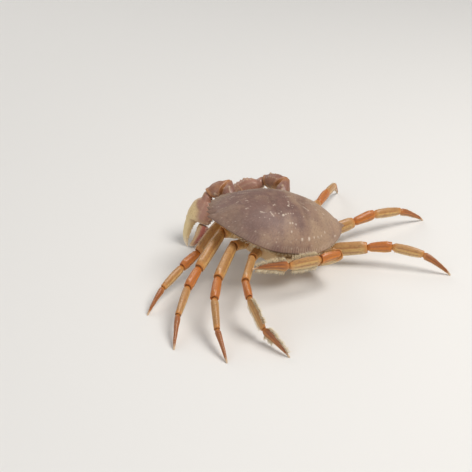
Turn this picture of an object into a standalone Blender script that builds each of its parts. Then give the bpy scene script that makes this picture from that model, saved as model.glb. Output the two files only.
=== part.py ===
"""A life-size Dungeness crab, standing on a floor with its left claw let down beside it.

Lengths are in metres, the floor is z = 0, and the crab faces +Y with its right side at +X.
The shell, the breast plate, the tail flap, the mouth plates, the eyes and the feelers are modelled
level about the middle of the shell's widest line, and hang from one tilted empty. Each limb is a
chain of hard segments, every one modelled along its own X axis with its height along Z.
"""

import math

import bmesh
import bpy
from mathutils import Matrix, Vector

MM = 0.001
GAP = 0.3 * MM

# Stance: where the middle of the shell sits, and how it leans
BODY_CENTRE = Vector((-17.54, 15.55, 56.0)) * MM
BODY_ROLL = math.radians(18.0)
BODY_PITCH = math.radians(6.5)

# Shell, level, from its middle
HALF_WIDTH = 85.0 * MM
FRONT_REACH = 0.70 * HALF_WIDTH
SIDE_REACH = 0.97 * HALF_WIDTH
REAR_REACH = 0.62 * HALF_WIDTH
REAR_HALF_WIDTH = 0.36 * HALF_WIDTH
DOME_HEIGHT = 0.35 * HALF_WIDTH
DOME_POWER = 2.3
FLANK_BEND = (0.80, -0.36)
REAR_DROP = 4.0 * MM
SIDE_TEETH = 9
UNDER_FLAT = 0.64
UNDER_DEPTH = 14.0 * MM

# Eyes, in sockets cut from the brow between its teeth
ORBIT_CENTRE = Vector((20.2, 57.2, -1.6)) * MM
ORBIT_RADII = Vector((4.3, 5.4, 3.9)) * MM
EYE_RADIUS = 2.7 * MM
STALK_RADIUS = 1.7 * MM

# Breast plate, a ring of flat faces that the ten limbs grow from
BREAST_RADIUS = 37.0 * MM
BREAST_OFFSET = 4.0 * MM
BREAST_TOP = -UNDER_DEPTH - 2 * GAP
BREAST_SIDE = -25.5 * MM
BREAST_BOTTOM = -28.5 * MM
BREAST_REAR = -44.0 * MM
LIMB_ANGLES = {1: 62.0, 2: 34.0, 3: 7.0, 4: -20.0, 5: -46.0}
LIMB_LEVEL = -21.0 * MM

# Walking legs: lengths of the five segments, then the merus's height and thickness. The last pair's
# shins and toes are blades, deeper than the others by this much.
SHIN_BLADE = 1.35
TOE_BLADE = 1.6
LEG_SIZES = {
    2: {"base": 19, "merus": 46, "carpus": 26, "propodus": 34, "dactyl": 36, "height": 16.0, "thick": 9.5},
    3: {"base": 19, "merus": 52, "carpus": 28, "propodus": 37, "dactyl": 40, "height": 17.0, "thick": 10.0},
    4: {"base": 19, "merus": 50, "carpus": 27, "propodus": 35, "dactyl": 38, "height": 17.0, "thick": 10.0},
    5: {"base": 18, "merus": 40, "carpus": 23, "propodus": 36, "dactyl": 40, "height": 15.5, "thick": 8.5},
}

# How each walking leg is held: the heading and rise of its merus, carpus and propodus in the room, and
# the heading of its dactyl, in degrees out from the crab's side. The dactyl slopes down to the floor.
LEG_POSES = {
    ("right", 2): ((38, 7), (42, 3), (48, -12), 54),
    ("right", 3): ((8, 5), (6, 6), (4, -8), 2),
    ("right", 4): ((-26, 7), (-30, 6), (-36, -8), -42),
    ("left", 2): ((-27, -31), (-26, -16), (-32, -15), -40),
    ("left", 3): ((-38, -22), (-44, -17), (-54, -17), -64),
    ("left", 4): ((-50, -12), (-61, -18), (-74, -26), -86),
    ("left", 5): ((-58, -6), (-78, -12), (-97, -34), -112),
}
# The last right leg is held off the floor, folded across behind the shell; its dactyl has a rise too
FOLDED_LEG = ((-76, 38), (190, 4), (179, 1), (171, 3))

# Claws: the elbow, the wrist and the tip of the fixed finger, from the point on the floor below the
# middle of the shell, then the direction that the movable finger is on
CLAW_POINTS = {
    "left": (Vector((-29, 80, 69)), Vector((-50, 86, 60)), Vector((-82, 80, 0)), Vector((0.6, -0.78, -0.16))),
    "right": (Vector((43, 84, 56)), Vector((26, 104, 52)), Vector((-33, 123, 14)), Vector((0.0, 0.2, 1.0))),
}
CLAW_ROOT = 21.0
PALM_SHARE = 0.50
PALM_HEIGHT = 31.0
PALM_THICKNESS = 18.5

# Limb sections have this many sides, and a corner on their upper and lower edges
LEG_SIDES = 10
LEG_UPPER = 2
CLAW_SIDES = 14
CLAW_UPPER = 3
CLAW_LOWER = 10
# The corners of a claw's two faces, each carrying a low keel of bumps
CLAW_KEELS = (0, 1, 12, 13, 5, 6, 7, 8)
SPINE = 2.0
TOOTH = 1.1
BUMP = 0.45
# Rings that a joint's plane cuts into keep this distance from each other
RING_STEP = 0.1 * MM

COLOURS = {
    "shell": (0.30, 0.18, 0.14),
    "leg": (0.46, 0.21, 0.07),
    "claw": (0.62, 0.42, 0.24),
    "underside": (0.70, 0.56, 0.34),
    "eye": (0.02, 0.015, 0.015),
}


def clear_scene():
    """Removes whatever the file starts with."""
    for thing in list(bpy.data.objects):
        bpy.data.objects.remove(thing)


def new_collection(name, hidden=False):
    made = bpy.data.collections.new(name)
    made.hide_render = hidden
    bpy.context.scene.collection.children.link(made)
    return made


def new_material(name, colour, roughness):
    made = bpy.data.materials.new(name)
    made.use_nodes = True
    shader = made.node_tree.nodes["Principled BSDF"]
    shader.inputs["Base Color"].default_value = (*colour, 1.0)
    shader.inputs["Roughness"].default_value = roughness
    shader.inputs["Metallic"].default_value = 0.0
    return made


def smoothstep(low, high, value):
    share = min(1.0, max(0.0, (value - low) / (high - low)))
    return share * share * (3.0 - 2.0 * share)


def loft(name, rings, material, collection):
    """One closed body through rings of equal count, its first and last ring filled from their middle."""
    mesh = bmesh.new()
    loops = [[mesh.verts.new(point) for point in ring] for ring in rings]
    count = len(rings[0])
    for near, far in zip(loops, loops[1:]):
        for i in range(count):
            j = (i + 1) % count
            mesh.faces.new((near[i], near[j], far[j], far[i]))
    caps = [mesh.faces.new(loops[0]), mesh.faces.new(loops[-1])]
    bmesh.ops.poke(mesh, faces=caps)
    bmesh.ops.recalc_face_normals(mesh, faces=mesh.faces)
    data = bpy.data.meshes.new(name)
    mesh.to_mesh(data)
    mesh.free()
    data.materials.append(material)
    data.shade_smooth()
    data.set_sharp_from_angle(angle=math.radians(35.0))
    made = bpy.data.objects.new(name, data)
    collection.objects.link(made)
    return made


def cut(target, cutters):
    """Takes the cutters in a collection out of the target."""
    modifier = target.modifiers.new("cut", "BOOLEAN")
    modifier.operation = "DIFFERENCE"
    modifier.operand_type = "COLLECTION"
    modifier.collection = cutters
    modifier.solver = "EXACT"


def side_arc(angle):
    """The shell's toothless front and side margin: an ellipse, by its own angle from the side."""
    return Vector((SIDE_REACH * math.cos(angle), FRONT_REACH * math.sin(angle)))


def tooth_steps(start, end, height, peak):
    """The notch, the point and the back slope of one margin tooth between two angles of the ellipse."""
    steps = []
    for share, rise in ((0.0, -0.25), (peak, 1.0), (0.5 + peak / 2, 0.45)):
        point = side_arc(start + (end - start) * share)
        outward = Vector((point.x / SIDE_REACH**2, point.y / FRONT_REACH**2)).normalized()
        steps.append((point, point + outward * height * rise))
    return steps


def right_margin():
    """The right half of the shell's edge, front to rear, as (smooth point, point with its tooth)."""
    brow = [(4.0, -1.0), (7.6, 3.2), (10.8, -0.6), (14.2, 3.0), (16.6, -2.4), (20.2, -3.6), (23.6, -2.2)]
    margin = []
    for x, rise in brow:
        smooth = side_arc(math.acos(x * MM / SIDE_REACH))
        margin.append((smooth, smooth + Vector((0.0, rise * MM))))
    orbital = math.acos(26.4 * MM / SIDE_REACH)
    first = math.radians(68.0)
    margin.append((side_arc(orbital), side_arc(orbital) + Vector((0.3, 3.4)) * MM))
    between = side_arc((orbital + first) / 2)
    margin.append((between, between + Vector((0.0, 1.6)) * MM))
    last = math.radians(-2.0)
    pitch = (first - last) / SIDE_TEETH
    for tooth in range(SIDE_TEETH):
        biggest = tooth == SIDE_TEETH - 1
        height = (4.6 if biggest else 2.0 + 0.12 * tooth) * MM
        start = first - pitch * tooth
        margin += tooth_steps(start, start - pitch, height, 0.55 if biggest else 0.34)
    corner = side_arc(last)
    bend = Vector(FLANK_BEND) * HALF_WIDTH
    rear = Vector((REAR_HALF_WIDTH, -0.93 * REAR_REACH))
    for step in range(9):
        share = step / 8.0
        point = corner * (1 - share) ** 2 + bend * 2 * share * (1 - share) + rear * share**2
        margin.append((point, point))
    for share in (0.86, 0.66, 0.36):
        point = Vector((REAR_HALF_WIDTH * share, -REAR_REACH * (1.0 - 0.07 * share**3.4)))
        margin.append((point, point))
    return margin


def shell_margin():
    """The whole edge, once round: down the right side from the brow's middle tooth, and back up the left."""
    right = right_margin()
    brow = side_arc(math.pi / 2)
    front = (brow, brow + Vector((0.0, 4.2 * MM)))
    rear = (Vector((0.0, -REAR_REACH)), Vector((0.0, -REAR_REACH)))
    flip = Vector((-1.0, 1.0))
    left = [(smooth * flip, toothed * flip) for smooth, toothed in reversed(right)]
    return [front, *right, rear, *left]


def relief(x, y):
    """Swellings and grooves of the shell's back, as a height over the plain dome."""
    u, v = abs(x) / HALF_WIDTH, y / HALF_WIDTH
    stomach = 1.3 * math.exp(-((u / 0.20) ** 2) - ((v - 0.24) / 0.24) ** 2)
    heart = 1.0 * math.exp(-((u / 0.13) ** 2) - ((v + 0.26) / 0.16) ** 2)
    gills = 1.2 * math.exp(-(((u - 0.46) / 0.24) ** 2) - ((v + 0.12) / 0.26) ** 2)
    groove = 1.5 * math.exp(-(((u - 0.20 - 0.12 * (v + 0.3) ** 2) / 0.055) ** 2) - ((v + 0.12) / 0.30) ** 2)
    neck = 0.9 * math.exp(-(((v - 0.02 - 0.55 * (u - 0.1) ** 2) / 0.06) ** 2) - ((u - 0.28) / 0.25) ** 2)
    return (stomach + heart + gills - groove - neck) * MM


def rear_drop(y, share):
    return REAR_DROP * share**3 * smoothstep(-0.10 * HALF_WIDTH, -REAR_REACH, y)


def dome(point, share):
    """A point of the back, at this share of the way from the middle to the smooth edge."""
    spot = point * share
    height = DOME_HEIGHT * (1.0 - share**DOME_POWER) ** 0.92
    if share < 1.0:
        height += relief(spot.x, spot.y) * (1.0 - share**4)
    return Vector((spot.x, spot.y, height - rear_drop(spot.y, share)))


def underside(point, share):
    """A point of the shell's turned-under rim, which levels out over the breast plate."""
    spot = point * share
    fall = smoothstep(1.04, UNDER_FLAT, share)
    height = -1.4 * MM - (UNDER_DEPTH - 1.4 * MM) * fall
    return Vector((spot.x, spot.y, height - rear_drop(spot.y, share) * (1.0 - fall)))


def make_shell(material, collection, cutters):
    """The shell: a shallow dome with a toothed edge and a rim turned under it, cut for the eye sockets."""
    margin = shell_margin()
    rings = []
    for share in (0.20, 0.38, 0.54, 0.68, 0.80, 0.89, 0.955):
        rings.append([dome(smooth, share) for smooth, _ in margin])
    edge = []
    for smooth, toothed in margin:
        edge.append(Vector((toothed.x, toothed.y, -rear_drop(smooth.y, 1.0))))
    rings.append(edge)
    for share in (0.975, 0.90, 0.82, 0.73, UNDER_FLAT):
        rings.append([underside(smooth, share) for smooth, _ in margin])
    shell = loft("carapace", rings, material, collection)
    for side in (-1, 1):
        mesh = bmesh.new()
        bmesh.ops.create_uvsphere(mesh, u_segments=12, v_segments=8, radius=1.0)
        bmesh.ops.scale(mesh, vec=ORBIT_RADII, verts=mesh.verts)
        centre = Vector((ORBIT_CENTRE.x * side, ORBIT_CENTRE.y, ORBIT_CENTRE.z))
        bmesh.ops.translate(mesh, vec=centre, verts=mesh.verts)
        data = bpy.data.meshes.new("socket")
        mesh.to_mesh(data)
        mesh.free()
        socket = bpy.data.objects.new("socket", data)
        socket.display_type = "WIRE"
        socket.hide_render = True
        cutters.objects.link(socket)
    cut(shell, cutters)
    return shell


def ring_about_x(radius, along):
    """A ten-sided ring round the X axis, at this distance along it."""
    ring = []
    for i in range(10):
        angle = 2 * math.pi * i / 10
        ring.append(Vector((along, radius * math.cos(angle), radius * math.sin(angle))))
    return ring


def pointing(direction, up):
    """A frame with X along direction and Z as near to up as it can be."""
    x = direction.normalized()
    z = (up - x * up.dot(x)).normalized()
    y = z.cross(x)
    return Matrix((x, y, z)).transposed()


def make_eye(side, material, collection):
    """An eye: a short stalk that widens into a ball, pointing out and forward in its socket."""
    sign = 1 if side == "right" else -1
    outlook = Vector((0.62 * sign, 0.72, 0.30))
    rings = [ring_about_x(STALK_RADIUS, -4.2 * MM), ring_about_x(STALK_RADIUS, -2.4 * MM)]
    for angle in (-40, -10, 20, 50, 75):
        turn = math.radians(angle)
        rings.append(ring_about_x(EYE_RADIUS * math.cos(turn), EYE_RADIUS * math.sin(turn)))
    eye = loft(f"eye_{side}", rings, material, collection)
    place = ORBIT_CENTRE + Vector((0.7, 0.9, 0.3)) * MM
    place.x *= sign
    eye.matrix_local = Matrix.Translation(place) @ pointing(outlook, Vector((0, 0, 1))).to_4x4()
    return eye


def limb_outline():
    """The breast plate in plan, right side, front to rear: the corners between its flat faces."""
    angles = list(LIMB_ANGLES.values())
    corners = []
    edges = [angles[0] + 14.0, *[(a + b) / 2 for a, b in zip(angles, angles[1:])], angles[-1] - 13.0]
    for i, edge in enumerate(edges):
        near = angles[min(i, len(angles) - 1)]
        radius = BREAST_RADIUS / math.cos(math.radians(edge - near))
        turn = math.radians(edge)
        corners.append(Vector((BREAST_OFFSET + radius * math.cos(turn), radius * math.sin(turn))))
    corners.append(Vector((17.0 * MM, BREAST_REAR)))
    return corners


def make_breast(material, collection, cutters):
    """The breast plate under the shell, grooved for the tail flap."""
    right = limb_outline()
    middle_front = Vector((0.0, right[0].y + 0.8 * MM))
    middle_rear = Vector((0.0, BREAST_REAR - 0.6 * MM))
    outline = [middle_front, *right, middle_rear, *[Vector((-p.x, p.y)) for p in reversed(right)]]

    def level(height, share):
        return [Vector((p.x * share, p.y * share, height)) for p in outline]

    rear_rise = 0.8 * MM
    top = []
    for p in outline:
        lift = rear_rise * smoothstep(-36.0 * MM, BREAST_REAR, p.y)
        top.append(Vector((p.x, p.y, BREAST_TOP + lift)))
    inner = level(BREAST_TOP, 0.84)
    keel = BREAST_BOTTOM - 0.9 * MM
    rings = [inner, top, level(BREAST_SIDE, 1.0), level(BREAST_BOTTOM, 0.86), level(keel, 0.4)]
    breast = loft("breast_plate", rings, material, collection)
    cut(breast, cutters)
    return breast


# Tail flap, folded under the body: height and width along its middle line (y, z), in millimetres
FLAP_LINE = [
    (-49.6, -12.4, 27.0),
    (-50.2, -17.5, 27.0),
    (-49.4, -22.5, 25.5),
    (-46.6, -26.8, 24.0),
    (-41.0, -29.4, 22.0),
    (-32.0, -30.2, 19.0),
    (-21.0, -30.6, 16.5),
    (-9.0, -30.8, 13.0),
    (0.0, -30.8, 9.5),
    (6.0, -30.6, 5.0),
]
FLAP_THICKNESS = 3.4


def flap_rings(growth):
    """Rings of the tail flap across its middle line, each a flat hexagon, grown by this much all round."""
    rings = []
    for i, (y, z, width) in enumerate(FLAP_LINE):
        before = Vector(FLAP_LINE[max(0, i - 1)][:2])
        after = Vector(FLAP_LINE[min(len(FLAP_LINE) - 1, i + 1)][:2])
        along = (after - before).normalized()
        outward = Vector((along.y, -along.x)) * -1
        start = -growth if i == 0 else growth if i == len(FLAP_LINE) - 1 else 0.0
        centre = Vector((y, z)) + along * start
        half = width / 2 + growth
        thick = FLAP_THICKNESS / 2 + growth
        inner = half * 0.72
        section = [(-half, 0), (-inner, thick), (inner, thick), (half, 0), (inner, -thick), (-inner, -thick)]
        ring = []
        for x, off in section:
            spot = centre + outward * off
            ring.append(Vector((x, spot.x, spot.y)) * MM)
        rings.append(ring)
    return rings


# One outer jaw plate: the middle of each of its sections, then the section's width and thickness
MOUTH_LINE = [
    (7.0, 40.6, -22.4, 11.0, 5.0),
    (7.0, 45.0, -19.6, 12.0, 5.0),
    (7.2, 48.6, -16.2, 11.5, 4.6),
    (7.0, 51.2, -12.8, 9.0, 4.0),
    (6.0, 52.8, -10.4, 5.5, 3.0),
]
MOUTH_SLOPE = (-0.62, 0.78)

# One antenna: the middle of each of its sections, then the section's radius
FEELER_LINE = [
    (13.2, 54.6, -9.0, 2.2),
    (13.8, 57.6, -8.2, 2.3),
    (14.6, 60.4, -7.2, 1.7),
    (15.0, 61.4, -6.8, 0.9),
    (15.4, 67.0, -4.6, 0.7),
    (16.2, 73.0, -3.2, 0.6),
    (17.8, 79.4, -3.0, 0.4),
]
TRIM_SIDES = 8


def make_mouth_plate(side, material, collection):
    """One outer jaw plate, which closes half of the mouth under the brow."""
    sign = 1 if side == "right" else -1
    rings = []
    for x, y, z, width, thick in MOUTH_LINE:
        ring = []
        for i in range(TRIM_SIDES):
            angle = 2 * math.pi * (i + 0.5) / TRIM_SIDES
            across = math.cos(angle) * width / 2
            deep = math.sin(angle) * thick / 2
            spot = Vector(((x + across) * sign, y + deep * MOUTH_SLOPE[0], z + deep * MOUTH_SLOPE[1]))
            ring.append(spot * MM)
        rings.append(ring)
    return loft(f"mouth_plate_{side}", rings, material, collection)


def make_feeler(side, material, collection):
    """One antenna: a stout root under the brow and a short tapering whip."""
    sign = 1 if side == "right" else -1
    rings = []
    for x, y, z, radius in FEELER_LINE:
        ring = []
        for i in range(TRIM_SIDES):
            angle = 2 * math.pi * i / TRIM_SIDES
            ring.append(Vector(((x + radius * math.cos(angle)) * sign, y, z + radius * math.sin(angle))) * MM)
        rings.append(ring)
    return loft(f"antenna_{side}", rings, material, collection)


def body_frame():
    """The tilt and place of the body, as a matrix."""
    turn = Matrix.Rotation(BODY_PITCH, 4, "X") @ Matrix.Rotation(BODY_ROLL, 4, "Y")
    return Matrix.Translation(BODY_CENTRE) @ turn


def facing(pair, sign):
    """The direction that a limb's flat face of the breast plate looks in."""
    turn = math.radians(LIMB_ANGLES[pair])
    return body_frame().to_3x3() @ Vector((math.cos(turn) * sign, math.sin(turn), 0.0))


def limb_root(pair, sign):
    """Where a limb's first segment leaves its flat face of the breast plate."""
    turn = math.radians(LIMB_ANGLES[pair])
    x = BREAST_OFFSET + (BREAST_RADIUS + GAP / 2) * math.cos(turn)
    y = (BREAST_RADIUS + GAP / 2) * math.sin(turn)
    return body_frame() @ Vector((x * sign, y, LIMB_LEVEL))


def room_direction(heading, rise, sign):
    """A direction in the room from a heading and a rise, mirrored for the left side."""
    turn, lift = math.radians(heading), math.radians(rise)
    return Vector((math.cos(turn) * math.cos(lift) * sign, math.sin(turn) * math.cos(lift), math.sin(lift)))


def leg_joints(side, pair):
    """The six joints of a walking leg, from the breast plate to the tip."""
    sign = 1 if side == "right" else -1
    sizes = LEG_SIZES[pair]
    root = limb_root(pair, sign)
    joints = [root, root + facing(pair, sign) * sizes["base"] * MM]
    pose = LEG_POSES.get((side, pair), FOLDED_LEG)
    for name, (heading, rise) in zip(("merus", "carpus", "propodus"), pose):
        joints.append(joints[-1] + room_direction(heading, rise, sign) * sizes[name] * MM)
    length = sizes["dactyl"] * MM
    if (side, pair) in LEG_POSES:
        drop = math.degrees(math.asin(joints[-1].z / length))
        joints.append(joints[-1] + room_direction(pose[3], -drop, sign) * length)
    else:
        joints.append(joints[-1] + room_direction(*pose[3], sign) * length)
    return joints


def oval(height, thick, sides):
    """The section of a limb segment, as (y, z) points."""
    section = []
    for i in range(sides):
        angle = 2 * math.pi * (i + 0.5) / sides
        section.append((thick / 2 * math.cos(angle), height / 2 * math.sin(angle)))
    return section


def turning(before, after):
    """The slope of a curve where two runs of these slopes meet: none where they turn back."""
    return 2 * before * after / (before + after) if before * after > 0 else 0.0


def station_at(stations, share):
    """The section at this share of the length, on a curve that never swells past the given stations."""
    i = min(len(stations) - 2, sum(share > station[0] for station in stations[1:]))
    near, far = stations[i], stations[i + 1]
    span = far[0] - near[0]
    t = (share - near[0]) / span
    values = []
    for k in range(1, len(near)):
        slopes = [(b[k] - a[k]) / (b[0] - a[0]) for a, b in zip(stations, stations[1:])]
        leaving = turning(slopes[max(0, i - 1)], slopes[i]) * span
        arriving = turning(slopes[i], slopes[min(len(slopes) - 1, i + 1)]) * span
        curve = (2 * t**3 - 3 * t**2 + 1) * near[k] + (t**3 - 2 * t**2 + t) * leaving
        values.append(curve + (3 * t**2 - 2 * t**3) * far[k] + (t**3 - t**2) * arriving)
    return values


def hold_back(point, local, plane_at, inward, depth, always):
    """Holds a point of a segment at least this deep inside the plane of a joint."""
    limit = plane_at - (local.y * point.y + local.z * point.z) / local.x + inward * depth
    if always or (point.x - limit) * inward < 0:
        point.x = limit


def make_segment(name, start, end, up, cuts, form, sides, material, collection):
    """A limb segment from start to end, its corners rounded where the limb bends. cuts are the planes
    that end it, as (normal, clearance), or None for a bare end. form holds its stations as (share of the
    length, height, thickness, rise), the number of rings from the first to the last, and its spines as
    (corner, height, rings that carry one)."""
    stations, count, spines = form
    length = (end - start).length
    frame = pointing(end - start, up)
    rings = []
    for i in range(count):
        share = stations[0][0] + (stations[-1][0] - stations[0][0]) * i / (count - 1)
        height, thick, rise = station_at(stations, share)
        section = [Vector((0.0, y, z)) for y, z in oval(height, thick, sides)]
        for corner, tall, carriers in spines:
            if i in carriers:
                section[corner] += section[corner].normalized() * tall
        rings.append([Vector((share * length, point.y * MM, (point.z + rise) * MM)) for point in section])
    for end_cut, plane_at, inward, order in ((cuts[0], 0.0, 1, rings), (cuts[1], length, -1, rings[::-1])):
        if end_cut is None:
            continue
        normal, clearance = end_cut
        local = frame.transposed() @ normal
        for i, ring in enumerate(order):
            for point in ring:
                hold_back(point, local, plane_at, inward, i * RING_STEP, i == 0)
                over = (plane_at - point.x) * inward
                if over > 0:
                    reach = math.hypot(point.y, point.z)
                    shrink = reach / math.hypot(reach, over)
                    point.x = plane_at - inward * over * shrink
                    point.yz = point.yz * shrink
                depth = clearance / abs(local.x) + i * RING_STEP
                hold_back(point, local, plane_at, inward, depth, i == 0)
    made = loft(name, rings, material, collection)
    made.matrix_world = Matrix.Translation(start) @ frame.to_4x4()
    return made


def joint_cut(before, at, after):
    """The normal of the plane that halves the bend at a joint."""
    return ((at - before).normalized() + (after - at).normalized()).normalized()


def chain_cuts(joints, root_normal, grounded):
    """The planes that part the segments of a chain, from its root to its tip on or off the floor."""
    cuts = [(root_normal, GAP / 2)]
    for before, at, after in zip(joints, joints[1:], joints[2:]):
        cuts.append((joint_cut(before, at, after), GAP / 2))
    cuts.append((Vector((0.0, 0.0, 1.0)), 0.0) if grounded else None)
    return cuts


def make_leg(side, pair, material, collection):
    """A walking leg: root, merus, carpus, propodus and the pointed dactyl that stands on the floor."""
    joints = leg_joints(side, pair)
    sizes = LEG_SIZES[pair]
    tall, thin = sizes["height"], sizes["thick"]
    shin_blade, toe_blade = (SHIN_BLADE, TOE_BLADE) if pair == 5 else (1.0, 1.0)
    cuts = chain_cuts(joints, facing(pair, 1 if side == "right" else -1), (side, pair) in LEG_POSES)
    base = [(0.0, 11.0, 13.0, 0.0), (0.5, 10.8, 11.0, 0.0), (1.0, tall * 0.76, thin * 1.1, 0.0)]
    upper = [
        (0.0, tall * 0.66, thin * 1.05, 0.0),
        (0.16, tall * 0.84, thin, 0.2),
        (0.45, tall, thin, 0.5),
        (0.84, tall * 0.96, thin * 1.04, 0.4),
        (1.0, tall * 0.76, thin * 1.00, 0.0),
    ]
    knee = [
        (0.0, tall * 0.56, thin * 0.84, 0.0),
        (0.32, tall * 0.68, thin * 0.94, 0.5),
        (0.78, tall * 0.80, thin * 0.98, 0.4),
        (1.0, tall * 0.66, thin * 0.86, 0.0),
    ]
    shin = [
        (0.0, tall * 0.54, thin * 0.74, 0.0),
        (0.18, tall * 0.66 * shin_blade, thin * 0.82, 0.2),
        (0.46, tall * 0.72 * shin_blade, thin * 0.78, 0.3),
        (0.80, tall * 0.64 * shin_blade, thin * 0.70, 0.2),
        (1.0, tall * 0.50, thin * 0.62, 0.0),
    ]
    toe = [
        (0.0, tall * 0.46, thin * 0.62, 0.0),
        (0.12, tall * 0.52 * toe_blade, thin * 0.62, 0.5),
        (0.40, tall * 0.40 * toe_blade, thin * 0.48, 1.6),
        (0.70, tall * 0.26 * toe_blade, thin * 0.35, 1.6),
        (0.88, tall * 0.17, thin * 0.25, 0.9),
        (1.0, 1.5, 1.5, 0.0),
    ]
    forms = {
        "base": (base, 4, []),
        "merus": (upper, 12, [(LEG_UPPER, BUMP, range(2, 9, 2)), (LEG_UPPER, SPINE / 2, [10])]),
        "carpus": (knee, 8, [(LEG_UPPER, BUMP, [2, 4]), (LEG_UPPER, SPINE / 2, [6])]),
        "propodus": (shin, 8, [(LEG_UPPER, BUMP, [2, 4, 6])]),
        "dactyl": (toe, 9, []),
    }
    for i, (part, form) in enumerate(forms.items()):
        start, end = joints[i], joints[i + 1]
        up = Vector((0.0, 0.0, 1.0)) if i else body_frame().to_3x3().col[2]
        name = f"leg_{side}_{pair}_{part}"
        make_segment(name, start, end, up, cuts[i : i + 2], form, LEG_SIDES, material, collection)


def claw_joints(side):
    """The joints of a claw limb, from the breast plate to the tip of its fixed finger."""
    sign = 1 if side == "right" else -1
    floor_below = Vector((BODY_CENTRE.x, BODY_CENTRE.y, 0.0))
    root = limb_root(1, sign)
    joints = [root, root + facing(1, sign) * CLAW_ROOT * MM]
    return joints + [floor_below + point * MM for point in CLAW_POINTS[side][:3]]


def make_arm(side, material, collection):
    """The first three segments of a claw limb, with the spines at the far ends of its arm and wrist."""
    joints = claw_joints(side)
    cuts = chain_cuts(joints, facing(1, 1 if side == "right" else -1), side == "left")
    root = [(0.0, 12.0, 16.0, 0.0), (0.5, 12.2, 14.5, 0.0), (1.0, 12.6, 13.0, -0.4)]
    arm = [(0.0, 13.0, 13.0, 0.0), (0.28, 17.0, 16.0, 0.0), (0.7, 19.5, 17.0, 0.0), (1.0, 13.0, 13.0, 0.0)]
    wrist = [(0.0, 12.0, 12.0, 0.0), (0.4, 19.0, 18.0, 0.0), (0.6, 19.0, 18.0, 0.0), (1.0, 13.0, 13.0, 0.0)]
    arm_spines = [(CLAW_UPPER, TOOTH, [3, 5]), (CLAW_UPPER, SPINE, [7])]
    wrist_spines = [(CLAW_UPPER, TOOTH, [3]), (CLAW_UPPER, SPINE, [5])]
    wrist_spines += [(corner, TOOTH, [5]) for corner in (CLAW_UPPER - 2, CLAW_UPPER + 2)]
    pieces = {
        "base": (body_frame().to_3x3().col[2], (root, 4, [])),
        "merus": (Vector((0.0, 0.0, 1.0)), (arm, 10, arm_spines)),
        "carpus": (CLAW_POINTS[side][3], (wrist, 9, wrist_spines)),
    }
    for i, (part, (up, form)) in enumerate(pieces.items()):
        name = f"claw_{side}_{part}"
        ends = joints[i], joints[i + 1]
        make_segment(name, *ends, up, cuts[i : i + 2], form, CLAW_SIDES, material, collection)


def make_hand(side, material, collection):
    """The palm, drawn out into the fixed finger, and the movable finger with its row of crest spines."""
    joints = claw_joints(side)
    cuts = chain_cuts(joints, facing(1, 1 if side == "right" else -1), side == "left")
    dactyl_side = CLAW_POINTS[side][3]
    tall, thick = PALM_HEIGHT, PALM_THICKNESS
    palm_rings = 41
    finger = PALM_SHARE + 1 / (palm_rings - 1)
    palm = [
        (0.0, 13.0, 13.0, 0.0),
        (0.10, tall * 0.42, thick * 0.74, 0.0),
        (0.17, tall * 0.72, thick * 0.86, 0.0),
        (0.27, tall * 0.94, thick * 0.98, 0.0),
        (0.42, tall, thick, -0.5),
        (PALM_SHARE, tall * 0.96, thick * 0.92, -0.8),
        (finger, tall * 0.47, thick * 0.74, -8.4),
        (0.66, tall * 0.34, thick * 0.60, -8.8),
        (0.80, tall * 0.27, thick * 0.48, -7.6),
        (0.92, tall * 0.18, thick * 0.34, -4.8),
        (1.0, 2.0, 2.0, 0.0),
    ]
    crest = [(CLAW_UPPER, SPINE, range(6, 19, 3)), (CLAW_LOWER, BUMP, range(8, 30, 2))]
    biting = [(CLAW_UPPER, TOOTH, range(22, 39, 2))]
    keels = [(corner, BUMP, range(5 + corner % 2, 20, 2)) for corner in CLAW_KEELS]
    form = (palm, palm_rings, crest + biting + keels)
    name = f"claw_{side}_palm"
    make_segment(name, joints[3], joints[4], dactyl_side, cuts[3:5], form, CLAW_SIDES, material, collection)
    reach = joints[4] - joints[3]
    hinge = joints[3] + reach * finger + reach.normalized() * GAP
    dactyl = [
        (0.0, tall * 0.38, thick * 0.62, 8.9),
        (0.16, tall * 0.42, thick * 0.64, 9.4),
        (0.40, tall * 0.35, thick * 0.56, 9.0),
        (0.66, tall * 0.26, thick * 0.44, 7.6),
        (0.86, tall * 0.17, thick * 0.30, 5.2),
        (0.94, 2.2, 2.2, 3.4),
    ]
    spines = [(CLAW_UPPER, SPINE * 0.8, range(1, 12, 2)), (CLAW_LOWER, TOOTH, range(3, 19, 2))]
    name = f"claw_{side}_dactyl"
    bare = (None, None)
    form = (dactyl, 21, spines)
    make_segment(name, hinge, joints[4], dactyl_side, bare, form, CLAW_SIDES, material, collection)


def main():
    clear_scene()
    crab = new_collection("dungeness_crab")
    sockets = new_collection("eye_sockets", hidden=True)
    grooves = new_collection("tail_groove", hidden=True)
    shell = new_material("shell", COLOURS["shell"], 0.45)
    leg = new_material("leg", COLOURS["leg"], 0.40)
    claw = new_material("claw", COLOURS["claw"], 0.45)
    pale = new_material("underside", COLOURS["underside"], 0.5)
    dark = new_material("eye", COLOURS["eye"], 0.1)
    body = bpy.data.objects.new("body", None)
    crab.objects.link(body)
    body.matrix_world = body_frame()
    groove = loft("groove", flap_rings(GAP / MM), pale, grooves)
    groove.hide_render = True
    groove.display_type = "WIRE"
    hung = [make_shell(shell, crab, sockets), make_breast(pale, crab, grooves)]
    hung.append(loft("tail_flap", flap_rings(0.0), pale, crab))
    hung.append(groove)
    for side in ("left", "right"):
        hung.append(make_mouth_plate(side, pale, crab))
        hung.append(make_feeler(side, leg, crab))
        hung.append(make_eye(side, dark, crab))
        make_arm(side, leg, crab)
        make_hand(side, claw, crab)
        for pair in LEG_SIZES:
            make_leg(side, pair, leg, crab)
    hung += list(sockets.objects)
    for piece in hung:
        piece.parent = body


main()
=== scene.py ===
import math
import random

import bmesh
import bpy
from mathutils import Matrix, Vector, kdtree, noise


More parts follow.
